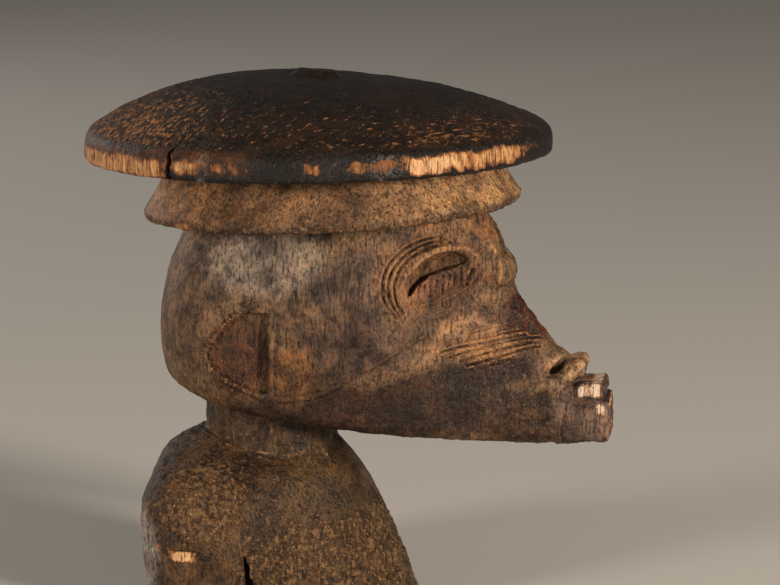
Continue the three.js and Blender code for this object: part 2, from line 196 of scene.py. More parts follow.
def smooth_path(path: Sequence[Point2], steps: int) -> Array:
    """Draws a curve through a path's points.

    Args:
        path: The points in side view.
        steps: How many stretches lie between two points.

    Returns:
        The denser points, one row each.
    """
    p = np.array(path, float)
    p = np.vstack([2 * p[0] - p[1], p, 2 * p[-1] - p[-2]])
    out = []
    for i in range(1, len(p) - 2):
        for t in np.arange(steps) / steps:
            a, b, c, d = p[i - 1 : i + 3]
            middle = (c - a) * t + (2 * a - 5 * b + 4 * c - d) * t**2 + (3 * b - a - 3 * c + d) * t**3
            out.append(b + 0.5 * middle)
    return np.array([*out, p[-2]])


def turned(x: Array, z: Array, degrees: float) -> tuple[Array, Array]:
    """Turns side view places so that a form pitched up in front by some degrees lies level."""
    c, s = math.cos(math.radians(degrees)), math.sin(math.radians(degrees))
    return x * c + z * s, z * c - x * s


class Act(Enum):
    """What a form does to the wood."""

    ADD = "add"
    CUT = "cut"


@dataclass(frozen=True)
class Stroke:
    """One form worked into the carving: its field, whether it adds or cuts, its fillet and its reach."""

    name: str
    act: Act
    distance: Callable[[Array, Array, Array], Array]
    fillet: float
    low: tuple[float, float, float]
    high: tuple[float, float, float]


class LineKind(Enum):
    """The families of cut and raised lines on the skin."""

    BROW = "brow_arcs"
    BAND = "brow_band"
    CREST = "brow_crest"
    CORNER = "eye_corner"
    LID = "lid_line"
    LID_EDGE = "lid_edge"
    LASH = "lashes"
    WING = "wing_crease"
    SCAR = "cheek_scars"
    FAINT = "faint_scars"
    STRAP = "strap_edges"
    TICK = "small_ticks"
    NICK = "rim_nicks"
    COLLAR = "collar_line"
    SPLIT = "rim_splits"


@dataclass(frozen=True)
class LineCut:
    """How a family of lines is worked: a groove that holds dirt, between burrs that are rubbed light and
    carry a painted highlight.

    A groove of negative depth is a ridge, rubbed light and painted with a highlight along its middle.
    """

    width: float
    depth: float
    burr: float
    dirt: float
    rubbed: float


LINE_CUTS: dict[LineKind, LineCut] = {
    LineKind.BROW: LineCut(0.46, 0.8, 0.45, 0.8, 0.75),
    LineKind.BAND: LineCut(1.5, -0.6, 0.0, 0.0, 0.7),
    LineKind.CREST: LineCut(0.9, -0.75, 0.0, 0.0, 1.0),
    LineKind.CORNER: LineCut(0.75, 0.9, 0.2, 0.9, 0.4),
    LineKind.LID: LineCut(0.5, 0.25, 0.0, 0.2, 0.0),
    LineKind.LID_EDGE: LineCut(0.7, -0.4, 0.0, 0.0, 0.5),
    LineKind.LASH: LineCut(0.44, 0.65, 0.3, 0.7, 0.3),
    LineKind.WING: LineCut(0.8, 0.4, 0.1, 0.5, 0.0),
    LineKind.SCAR: LineCut(0.4, 0.7, 0.55, 0.75, 0.85),
    LineKind.FAINT: LineCut(0.36, 0.35, 0.35, 0.4, 0.6),
    LineKind.STRAP: LineCut(0.42, 0.32, 0.15, 0.35, 0.2),
    LineKind.TICK: LineCut(0.36, 0.6, 0.12, 0.9, 0.0),
    LineKind.NICK: LineCut(0.34, 0.45, 0.1, 0.8, 0.5),
    LineKind.COLLAR: LineCut(0.55, 0.45, 0.45, 0.35, 0.55),
    LineKind.SPLIT: LineCut(0.4, 0.45, 0.0, 0.7, 0.0),
}


@dataclass
class Hat:
    """The wide domed hat: a blunt worn rim, a full dome and a low nub."""

    radius: float
    centre_x: float = 11.8
    rim_z: float = 116.3
    dome_height: float = 16.0
    lean: float = 0.06
    fullness: float = 2.6
    rim_above: float = 2.8
    rim_below: float = 3.4
    underside_rise: float = 1.5
    nub_radius: float = 6.2
    nub_height: float = 1.5
    pitch: float = 0.95
    rim_round: float = 2.4
    rim_waves: Waves = ((0.35, 3, 0.7), (0.22, 7, 2.0))
    rim_inset: float = 0.3
    crack_angle: float = 241.0
    crack_length: float = 6.5
    crack_half: float = 0.55
    crack_tip: float = 0.1
    crack_sway: float = 0.3
    split_count: int = 150
    split_share: float = 0.35
    split_length: float = 5.0

    def place(self, x: Array, y: Array, z: Array) -> tuple[Array, Array]:
        """Returns the distance from the hat's axis and the height above its rim, with the hat laid level."""
        u, w = turned(x - self.centre_x, z - self.rim_z, self.pitch)
        return np.hypot(u, y), w

    def distance(self, x: Array, y: Array, z: Array) -> Array:
        """Returns the distance to the hat."""
        r, w = self.place(x, y, z)
        share = np.minimum(r / self.radius, 1.06)
        rise = self.dome_height - self.rim_above
        top = self.rim_above + rise * (1 - share**self.fullness)
        slope = rise * self.fullness / self.radius * share ** (self.fullness - 1)
        nub = self.nub_height * (1 - smooth_step(self.nub_radius * 0.75, self.nub_radius * 1.15, r))
        along = (x - self.centre_x) * (1 - share**2)
        top = top - self.lean * along
        above = (w - top - nub) / np.sqrt(1 + slope * slope)
        below = -self.rim_below + self.underside_rise * (1 - share) - w
        around = np.arctan2(y, x - self.centre_x)
        wobble = ripple(around, self.rim_waves) - self.rim_inset
        side = r - self.radius - wobble
        return soft_max(soft_max(above, side, self.rim_round), below, 1.4)

    def crack(self, x: Array, y: Array, z: Array) -> Array:
        """Returns the distance to the crack that runs inwards from the near rim."""
        turn = math.radians(self.crack_angle)
        out = (x - self.centre_x) * math.cos(turn) + y * math.sin(turn)
        side = y * math.cos(turn) - (x - self.centre_x) * math.sin(turn)
        start = self.radius - self.crack_length
        half = self.crack_tip + (self.crack_half - self.crack_tip) * smooth_step(start, self.radius, out)
        way = side + self.crack_sway * np.sin(1.6 * z) + 0.1 * (out - self.radius)
        return np.maximum(np.abs(way) - half, start - out)

    def strokes(self) -> list[Stroke]:
        """Returns the hat and the crack in its rim."""
        reach = self.radius + 3
        low = (self.centre_x - reach, -reach, self.rim_z - 9)
        high = (self.centre_x + reach, reach, self.rim_z + 21)
        return [
            Stroke("hat", Act.ADD, self.distance, 0.8, low, high),
            Stroke("rim_crack", Act.CUT, self.crack, 0.2, (-26, -61, 112), (-6, -42, 122)),
        ]


@dataclass
class CrownBand:
    """The flared band between the hat and the brow, with a blunt lip bevelled underneath."""

    centre_x: float = 15.6
    lip_z: float = 99.4
    lip_radius: float = 46.6
    lip_thick: float = 2.1
    lip_bevel: float = 1.0
    top_z: float = 115.0
    top_radius: float = 40.0
    cone_share: float = 0.74
    wall_out: float = 0.1
    wall_bow: float = 0.008
    lip_round: float = 0.5
    lip_waves: Waves = ((0.28, 4, 1.1), (0.16, 9, 0.0))
    lip_inset: float = 0.1
    chip_waves: Waves = ((0.14, 27, 0.6), (0.12, 43, 0.0))
    pitch: float = 2.9

    def place(self, x: Array, y: Array, z: Array) -> tuple[Array, Array]:
        """Returns the distance from the band's axis and the height above its lip."""
        u, w = turned(x - self.centre_x, z - self.lip_z, self.pitch)
        return np.hypot(u, y), w

    def distance(self, x: Array, y: Array, z: Array) -> Array:
        """Returns the distance to the band."""
        r, w = self.place(x, y, z)
        rise = self.top_z - self.lip_z
        around = np.arctan2(y, x - self.centre_x)
        wobble = ripple(around, self.lip_waves) - self.lip_inset
        chips = ripple(around, self.chip_waves)
        slant = (self.lip_radius - self.top_radius) / (rise * self.cone_share - self.lip_thick)
        over = w - self.lip_thick
        wall = self.lip_radius + self.wall_out - over * slant + self.wall_bow * over**2
        cone = (r - wall - wobble) / math.hypot(1.0, slant)
        lip = r - self.lip_radius - wobble
        bevel = (lip + self.lip_bevel - w + chips) * math.sqrt(0.5)
        shape = soft_max(soft_max(cone, lip, self.lip_round), bevel, self.lip_round)
        return soft_max(soft_max(shape, -w, 0.8), w - rise, 1.0)

    def strokes(self) -> list[Stroke]:
        """Returns the band as one stroke."""
        reach = self.lip_radius + 4
        low = (self.centre_x - reach, -reach, self.lip_z - 5)
        high = (self.centre_x + reach, reach, self.top_z + 4)
        return [Stroke("crown_band", Act.ADD, self.distance, 0.9, low, high)]


@dataclass
class Head:
    """The round-backed cranium, drawn out forwards into a wedge of a muzzle."""

    back: Rows = ((44, -14), (52, -21.8), (58, -26.0), (68, -27.9), (82, -26.2), (92, -22.5), (100, -18.4))
    back_radius: Rows = ((44, 22), (52, 24.8), (68, 27.2), (84, 26.0), (100, 23.0))
    temple_x: float = 22.0
    temple_radius: Rows = ((44, 21.6), (54, 23.6), (66, 26.2), (84, 25.6), (100, 23.4))
    front: Rows = (
        (40, 80), (46, 81), (52, 80), (58, 76), (64, 70.8),
        (73, 64.6), (80, 59.8), (89, 58.8), (94, 57.2), (101, 53.2),
    )
    front_radius: Rows = ((40, 6.6), (50, 7.4), (58, 7.6), (66, 6.6), (76, 6.6), (84, 9.5), (100, 12.5))
    underside_z: float = 50.2
    underside_slope: float = -0.18
    underside_sag: float = 0.00086
    jaw_round: float = 0.9
    jaw_bevel: float = 1.8
    top_z: float = 104.0

    def __post_init__(self) -> None:
        """Prepares the curves."""
        self.curves = [Profile(rows) for rows in (self.back, self.back_radius, self.temple_radius)]
        self.curves += [Profile(rows) for rows in (self.front, self.front_radius)]

    def jaw_height(self, x: Array) -> Array:
        """Returns how high the underside of the jaw lies."""
        return self.underside_z + self.underside_slope * x + self.underside_sag * x * x

    def distance(self, x: Array, y: Array, z: Array) -> Array:
        """Returns the distance to the head without its face carving."""
        back, back_r, temple_r, front, front_r = (curve(z) for curve in self.curves)
        cranium = hull_distance(x, y, back + back_r, back_r, self.temple_x, temple_r)
        muzzle = hull_distance(x, y, self.temple_x, temple_r, front - front_r, front_r)
        shell = np.minimum(cranium, muzzle)
        jaw = self.jaw_height(x) - z
        bevel = (shell + jaw) * math.sqrt(0.5) + self.jaw_bevel * math.sqrt(0.5)
        whole = soft_max(soft_max(shell, jaw, 0.8), bevel, self.jaw_round)
        return soft_max(whole, z - self.top_z, 1.0)

    def side_skin(self, x: float, z: float) -> float:
        """Returns how far out the head's side lies at one place in side view."""
        y = np.linspace(0.0, 32.0, 641)
        inside = self.distance(np.full_like(y, x), y, np.full_like(y, z)) <= 0
        return float(y[inside][-1]) if inside.any() else 0.0

    def side_turn(self, x: float, z: float) -> tuple[float, float]:
        """Returns how much the side falls away along x and along z at one place in side view."""
        step = 1.0
        across = (self.side_skin(x + step, z) - self.side_skin(x - step, z)) / (2 * step)
        up = (self.side_skin(x, z + step) - self.side_skin(x, z - step)) / (2 * step)
        return across, up

    def bar(self, path: Sequence[Point2], width: float, proud: float, name: str) -> Stroke:
        """Raises a bar of wood along a path on both sides of the head.

        Args:
            path: The path in side view.
            width: How wide the bar is.
            proud: How far it stands out of the skin.
            name: The bar's name.

        Returns:
            The stroke that raises it.
        """
        def distance(x: Array, y: Array, z: Array) -> Array:
            """Returns the distance to the bar."""
            edge = path_distance(x, z, path) - width / 2
            return soft_max(edge, self.distance(x, y, z) - proud, min(proud, 0.7))

        xs, zs = zip(*path)
        low = (min(xs) - 2 * width, -40.0, min(zs) - 2 * width)
        high = (max(xs) + 2 * width, 40.0, max(zs) + 2 * width)
        return Stroke(name, Act.ADD, distance, 0.45, low, high)

    def strokes(self) -> list[Stroke]:
        """Returns the head as one stroke."""
        return [Stroke("head", Act.ADD, self.distance, 1.0, (-32, -32, 38), (86, 32, 106))]


@dataclass
class Eye:
    """The sunken eye: a hollow over a heavy notched lid, under a smooth band and three rings of lines."""

    head: Head
    socket_x: float = 44.2
    socket_z: float = 84.2
    socket_half: tuple[float, float, float] = (9.4, 6.4, 3.9)
    socket_tilt: float = 17.0
    lid_edge: Rows = (
        (35.2, 77.6), (36.6, 79.4), (38.8, 82.6), (41.8, 85.1),
        (44.6, 86.1), (47.8, 87.0), (50.8, 87.6), (54.0, 86.6),
    )
    edge_round: float = 1.1
    outer_ring: Sequence[Point2] = (
        (34.5, 75.8), (32.9, 77.9), (31.4, 80.8), (31.0, 84.1), (31.8, 87.5),
        (33.9, 90.6), (36.8, 92.8), (40.4, 94.1), (44.1, 94.8),
    )
    inner_ring: Sequence[Point2] = (
        (35.9, 76.7), (34.9, 78.6), (34.2, 81.0), (34.0, 83.6), (34.6, 86.4),
        (36.3, 88.9), (38.9, 90.9), (42.3, 92.3), (46.6, 93.2),
    )
    ring_count: int = 3
    band: Sequence[Point2] = (
        (35.3, 79.6), (35.6, 83.4), (36.8, 86.3), (40.4, 89.9), (45.6, 91.6), (50.6, 91.2), (53.2, 88.4),
    )
    crest: Sequence[Point2] = ((55.2, 92.8), (56.6, 90.0), (57.9, 87.0), (58.4, 84.6), (57.8, 82.0))
    lower_edge: Sequence[Point2] = ((36.6, 77.9), (41.7, 78.6), (45.8, 79.4), (49.9, 81.3), (52.4, 83.8))
    lash_line: Sequence[Point2] = ((39.4, 81.2), (43.0, 82.4), (47.0, 83.8), (50.4, 85.2))
    lash_count: int = 9
    lash_length: float = 5.0

    def __post_init__(self) -> None:
        """Prepares the lid's upper edge."""
        self.edge_curve = Profile(self.lid_edge)
        self.lens = self.socket_lens()

    def socket_lens(self) -> Callable:
        """Makes the lens that lies in the head's side and follows its slope.

        Returns:
            The lens's distance function.
        """
        skin = self.head.side_skin(self.socket_x, self.socket_z)
        across, up = self.head.side_turn(self.socket_x, self.socket_z)
        tilt = math.radians(self.socket_tilt)
        out = Vector((-across, 1.0, -up)).normalized()
        along = Vector((math.cos(tilt), 0.0, math.sin(tilt)))
        along = (along - out * along.dot(out)).normalized()
        over = along.cross(out).normalized()
        middle = Vector((self.socket_x, skin, self.socket_z))

        def distance(px: Array, py: Array, pz: Array) -> Array:
            """Returns the distance to the lens."""
            dx, dy, dz = px - middle.x, np.abs(py) - middle.y, pz - middle.z
            u = dx * along.x + dy * along.y + dz * along.z
            v = dx * over.x + dy * over.y + dz * over.z
            w = dx * out.x + dy * out.y + dz * out.z
            return egg_distance(u, v, w, self.socket_half)

        return distance

    def hollow(self, x: Array, y: Array, z: Array) -> Array:
        """Returns the distance to the hollow, which ends at the lid's upper edge."""
        return soft_max(self.lens(x, y, z), (self.edge_curve(x) - z) * 0.8, self.edge_round)

    def strokes(self) -> list[Stroke]:
        """Returns the hollow."""
        return [Stroke("eye_hollow", Act.CUT, self.hollow, 0.6, (32, -32, 74), (58, 32, 96))]

    def ring(self, share: float) -> list[Point2]:
        """Returns one brow ring, 0 being the outer one and 1 the inner."""
        return [(a + (c - a) * share, b + (d - b) * share)
                for (a, b), (c, d) in zip(self.outer_ring, self.inner_ring)]

    def lines(self) -> dict[LineKind, list[Sequence[Point2]]]:
        """Returns the brow rings, the bands and crests inside them, and the lines of the lid."""
        return {
            LineKind.BROW: [self.ring(i / (self.ring_count - 1)) for i in range(self.ring_count)],
            LineKind.BAND: [self.band],
            LineKind.CREST: [self.crest],
            LineKind.LID_EDGE: [self.lower_edge],
            LineKind.LID: [[(x + 0.1, z + 0.95) for x, z in self.lower_edge]],
            LineKind.CORNER: [((50.7, 83.6), (51.3, 84.6), (51.9, 85.8))],
        }


@dataclass
class Ear:
    """The ear: a wedge-shaped hollow with a raised rim behind it and an upright bar in front."""

    head: Head
    rim: Sequence[Point2] = (
        (0.7, 79.2), (-5.6, 75.5), (-11.4, 68.8), (-12.8, 65.2), (-9.4, 60.9), (1.6, 55.7),
    )
    rim_width: float = 1.25
    rim_proud: float = 0.6
    nicks_per_stretch: int = 5
    front_x: float = 3.5
    corner_round: float = 3.0
    tip_x: float = -11.4
    tip_z: float = 65.4
    top_z: float = 77.0
    bottom_z: float = 56.6
    hollow_depth: float = 2.8
    least_depth: float = 0.7
    depth_loss: float = 0.35
    bar_width: float = 0.9
    bar_proud: float = 0.4
    bar_top: float = 72.0
    groove: Sequence[Point2] = ((5.1, 71.5), (4.9, 64.0), (4.7, 57.4))
    prick_count: int = 6
    prick_start: Point2 = (6.9, 69.3)
    prick_step: float = 0.95
    prick_half: float = 0.9

    def __post_init__(self) -> None:
        """Prepares the rim's curve, read from the bottom up."""
        self.rim_curve = Profile([(z, x) for x, z in reversed(self.rim)])

    def hollow(self, x: Array, y: Array, z: Array) -> Array:
        """Returns the distance to the wedge that is cut out, deepest at its front edge."""
        rim_x = self.rim_curve(z)
        from_rim = path_distance(x, z, self.rim)
        outline = np.where(x > rim_x, -from_rim, from_rim) + self.rim_width * 0.5
        outline = soft_max(outline, x - self.front_x, self.corner_round)
        outline = np.maximum(outline, np.maximum(z - self.top_z, self.bottom_z - z))
        share = np.clip((x - self.tip_x) / (self.front_x - self.tip_x), 0, 1)
        level = 1 - self.depth_loss * np.abs((z - self.tip_z) / (self.top_z - self.tip_z))
        depth = self.least_depth + (self.hollow_depth - self.least_depth) * share * level
        return soft_max(outline, -(self.head.distance(x, y, z) + depth), 0.5)

    def nicks(self) -> list[list[Point2]]:
        """Returns the short nicks cut across the rim, all along it."""
        points = smooth_path(self.rim, self.nicks_per_stretch)
        half = self.rim_width * 0.75
        found = []
        for (ax, az), (bx, bz) in zip(points[:-1], points[1:]):
            length = math.hypot(bx - ax, bz - az)
            sx, sz = (az - bz) / length * half, (bx - ax) / length * half
            found.append([(ax - sx, az - sz), (ax + sx, az + sz)])
        return found

    def strokes(self) -> list[Stroke]:
        """Returns the rim, the hollow and the bar before it."""
        bar_x = self.front_x + self.bar_width / 2
        bar = [(bar_x + 0.3, self.bar_top), (bar_x, self.bottom_z - 1.4)]
        low, high = (-16, -36, 52), (7, 36, 82)
        return [
            self.head.bar(self.rim, self.rim_width, self.rim_proud, "ear_rim"),
            Stroke("ear_hollow", Act.CUT, self.hollow, 0.5, low, high),
            self.head.bar(bar, self.bar_width, self.bar_proud, "ear_bar"),
        ]

    def lines(self) -> dict[LineKind, list[list[Point2]]]:
        """Returns the groove before the bar, the row of pricks on the flat patch and the rim's nicks."""
        start_x, middle_z = self.prick_start
        foot_z, tip_z = middle_z - self.prick_half, middle_z + self.prick_half
        places = [start_x + i * self.prick_step for i in range(self.prick_count)]
        pricks = [[(x, foot_z), (x + 0.1, tip_z)] for x in places]
        return {LineKind.STRAP: [self.groove], LineKind.TICK: pricks, LineKind.NICK: self.nicks()}


@dataclass
class Cheek:
    """The strap line from the ear to the eye, and the fan of scars before it."""

    head: Head
    strap: Sequence[Point2] = ((4.8, 54.8), (15.8, 56.6), (23.3, 61.1), (35.2, 67.9), (40.3, 70.7))
    strap_width: float = 0.9
    strap_proud: float = 0.35
    scars: Sequence[Sequence[Point2]] = (
        ((44.6, 66.5), (48.7, 67.3), (53.6, 67.8), (57.6, 68.3), (61.5, 68.8), (64.5, 69.1)),
        ((46.8, 65.0), (52.0, 66.3), (56.1, 67.1), (59.8, 67.8), (64.0, 68.3), (68.4, 68.0)),
        ((49.0, 63.9), (52.3, 64.8), (56.9, 65.7), (61.3, 66.5), (66.0, 67.2)),
        ((50.8, 62.9), (54.6, 63.6), (59.8, 64.7), (63.5, 65.5), (68.0, 66.1)),
    )
    faint_scars: Sequence[Sequence[Point2]] = (
        ((45.9, 67.8), (50.0, 68.7), (54.5, 69.2), (58.5, 69.6), (62.5, 70.1)),
        ((50.9, 70.3), (55.0, 71.0), (60.4, 71.7)),
        ((54.4, 62.0), (57.8, 62.8), (61.0, 63.6)),
    )

    def strokes(self) -> list[Stroke]:
        """Returns the strap."""
        return [self.head.bar(self.strap, self.strap_width, self.strap_proud, "strap")]

    def lines(self) -> dict[LineKind, list[list[Point2]]]:
        """Returns the scars, the fainter ones above them, the strap's edges and the short band at the eye."""
        above = [(x + 0.3, z + 0.9) for x, z in self.strap]
        below = [(x + 0.6, z - 0.8) for x, z in self.strap]
        short_band = [(34.7, 77.2), (36.4, 71.5)]
        return {
            LineKind.SCAR: list(self.scars),
            LineKind.FAINT: list(self.faint_scars),
            LineKind.STRAP: [above, below, short_band, [(x + 1.3, z) for x, z in short_band]],
        }


@dataclass
class Nose:
    """The nose: a narrow ridge down the muzzle, a knuckle of brow at its root and round wings at its foot."""

    front: Rows = (
        (57, 78.2), (61, 77.2), (63.6, 74.6), (66, 71.4), (69, 69),
        (73, 66), (76, 63.5), (80, 61), (84, 60.4), (89, 58.9),
    )
    half_width: Rows = ((57, 4.8), (66, 3.2), (80, 2.4), (89, 2.4))
    back_x: float = 45.0
    foot_z: float = 57.0
    root_z: float = 88.0
    knuckle: tuple[float, float, float] = (57.3, 3.2, 84.3)
    knuckle_radii: tuple[float, float, float] = (4.2, 3.8, 5.0)
    wing: tuple[float, float, float] = (76.7, 3.7, 60.6)
    wing_radii: tuple[float, float, float] = (3.4, 3.8, 2.3)
    wing_pitch: float = 35.0
    wing_tail: Sequence[Point2] = ((66.0, 55.3), (70.2, 57.0), (74.6, 58.5), (77.4, 59.9))
    tail_radius: float = 1.15
    tail_out: float = 6.0
    nostril: Point2 = (72.8, 61.2)
    nostril_half: Point2 = (3.0, 1.0)
    nostril_pitch: float = 41.0
    nostril_floor: float = 2.5

    def __post_init__(self) -> None:
        """Prepares the curves."""
        self.front_curve = Profile(self.front)
        self.half_curve = Profile(self.half_width)

    def ridge(self, x: Array, y: Array, z: Array) -> Array:
        """Returns the distance to the ridge."""
        side = np.abs(y) - self.half_curve(z)
        ahead = (x - self.front_curve(z)) * 0.72
        outline = soft_max(side, ahead, 2.2)
        ends = np.maximum(self.foot_z - z, z - self.root_z)
        return soft_max(soft_max(outline, self.back_x - x, 0.5), ends, 1.2)

    def knuckles(self, x: Array, y: Array, z: Array) -> Array:
        """Returns the distance to the knuckles of brow."""
        kx, ky, kz = self.knuckle
        return egg_distance(x - kx, np.abs(y) - ky, z - kz, self.knuckle_radii)

    def wings(self, x: Array, y: Array, z: Array) -> Array:
        """Returns the distance to the wings."""
        wx, wy, wz = self.wing
        u, w = turned(x - wx, z - wz, self.wing_pitch)
        lobe = egg_distance(u, np.abs(y) - wy, w, self.wing_radii)
        tail = np.hypot(path_distance(x, z, self.wing_tail), (np.abs(y) - self.wing_skin(x)) * 0.8)
        return soft_min(lobe, tail - self.tail_radius, 1.6)

    def wing_skin(self, x: Array) -> Array:
        """Returns how far out the wing's tail runs, following the muzzle's side."""
        return self.tail_out + np.maximum(self.wing[0] - 1.8 - x, 0.0) * 0.28

    def nostrils(self, x: Array, y: Array, z: Array) -> Array:
        """Returns the distance to the short bores of the nostrils, slanted like the wings."""
        nx, nz = self.nostril
        u, w = turned(x - nx, z - nz, self.nostril_pitch)
        long_half, short_half = self.nostril_half
        bore = egg_distance(u, np.zeros_like(u), w, (long_half, 1.0, short_half))
        return soft_max(bore, self.nostril_floor - np.abs(y), 0.8)

    def lines(self) -> dict[LineKind, list[list[Point2]]]:
        """Returns the crease round the back of each wing."""
        return {LineKind.WING: [[(67.0, 54.0), (71.0, 55.3), (75.4, 56.9), (78.4, 58.6)]]}

    def strokes(self) -> list[Stroke]:
        """Returns the ridge, knuckles, wings and nostrils."""
        low, high = (42, -15, 52), (84, 15, 94)
        return [
            Stroke("nose_ridge", Act.ADD, self.ridge, 2.6, low, high),
            Stroke("knuckles", Act.ADD, self.knuckles, 1.4, low, high),
            Stroke("wings", Act.ADD, self.wings, 1.5, low, high),
            Stroke("nostrils", Act.CUT, self.nostrils, 0.7, low, high),
        ]


@dataclass
class Mouth:
    """The lips: two square blocks across the squared end of the muzzle, with a slit between them."""

    muzzle: tuple[float, float, float, float] = (69.0, 80.0, 43.6, 56.4)
    upper: tuple[float, float, float, float] = (77.2, 84.6, 53.6, 57.4)
    lower: tuple[float, float, float, float] = (74.6, 85.6, 43.0, 53.4)
    muzzle_half: float = 7.6
    upper_half: float = 8.3
    lower_half: float = 8.35
    edge_round: float = 1.0
    slit_half: float = 0.2
    slit_depth: float = 0.7

    def block(self, sizes: Sequence[float], half: float) -> Callable:
        """Makes a lip.

        Args:
            sizes: Its back, front, bottom and top.
            half: Half its width.

        Returns:
            The lip's distance function.
        """
        back, front, bottom, top = sizes

        def distance(x: Array, y: Array, z: Array) -> Array:
            """Returns the distance to the lip."""
            qx = np.abs(x - (back + front) / 2) - (front - back) / 2 + self.edge_round
            qy = np.abs(y) - half + self.edge_round
            qz = np.abs(z - (bottom + top) / 2) - (top - bottom) / 2 + self.edge_round
            outside = np.sqrt(np.maximum(qx, 0) ** 2 + np.maximum(qy, 0) ** 2 + np.maximum(qz, 0) ** 2)
            return outside + np.minimum(np.maximum(np.maximum(qx, qy), qz), 0) - self.edge_round

        return distance

    def slit(self, x: Array, y: Array, z: Array) -> Array:
        """Returns the distance to the slit that runs round the lips."""
        middle = (self.upper[2] + self.lower[3]) / 2
        level = np.abs(z - middle) - self.slit_half
        kept_side = self.upper_half - self.slit_depth - np.abs(y)
        kept_front = x - (self.upper[1] - self.slit_depth)
        kept = np.maximum(-kept_side, kept_front)
        return soft_max(np.maximum(level, self.muzzle[0] + 4.0 - x), -kept, 0.3)

    def strokes(self) -> list[Stroke]:
        """Returns the end of the muzzle, the two lips and the slit."""
        low, high = (66, -13, 40), (90, 13, 61)
        return [
            Stroke("muzzle_end", Act.ADD, self.block(self.muzzle, self.muzzle_half), 1.4, low, high),
            Stroke("upper_lip", Act.ADD, self.block(self.upper, self.upper_half), 0.5, low, high),
            Stroke("lower_lip", Act.ADD, self.block(self.lower, self.lower_half), 0.5, low, high),
            Stroke("mouth_slit", Act.CUT, self.slit, 0.3, low, high),
        ]


@dataclass
class Neck:
    """The round neck with a low collar that dips towards the chest and the shoulders."""

    radius: float = 16.5
    top_z: float = 62.0
    collar_radius: float = 18.0
    collar_z: float = 41.0
    collar_drop: float = 0.17
    collar_line: Sequence[Point2] = ((-15.4, 43.2), (-9.0, 42.0), (-2.0, 39.8), (6.0, 38.6), (14.5, 38.6))
    bottom_z: float = 28.0

    def column(self, x: Array, y: Array, z: Array) -> Array:
        """Returns the distance to the neck."""
        return np.maximum(np.hypot(x, y) - self.radius, np.maximum(z - self.top_z, self.bottom_z - z))

    def collar(self, x: Array, y: Array, z: Array) -> Array:
        """Returns the distance to the collar."""
        top = self.collar_z - (x + np.abs(y)) * self.collar_drop - 0.5
        rim = soft_max(np.hypot(x, y) - self.collar_radius, z - top, 0.6)
        return np.maximum(rim, self.bottom_z - z)

    def lines(self) -> dict[LineKind, list[Sequence[Point2]]]:
        """Returns the line cut where the neck meets the shoulders."""
        return {LineKind.COLLAR: [self.collar_line]}

    def strokes(self) -> list[Stroke]:
        """Returns the neck and its collar."""
        low, high = (-24, -24, 24), (24, 24, 66)
        return [
            Stroke("neck", Act.ADD, self.column, 1.4, low, high),
            Stroke("collar", Act.ADD, self.collar, 0.5, low, high),
        ]


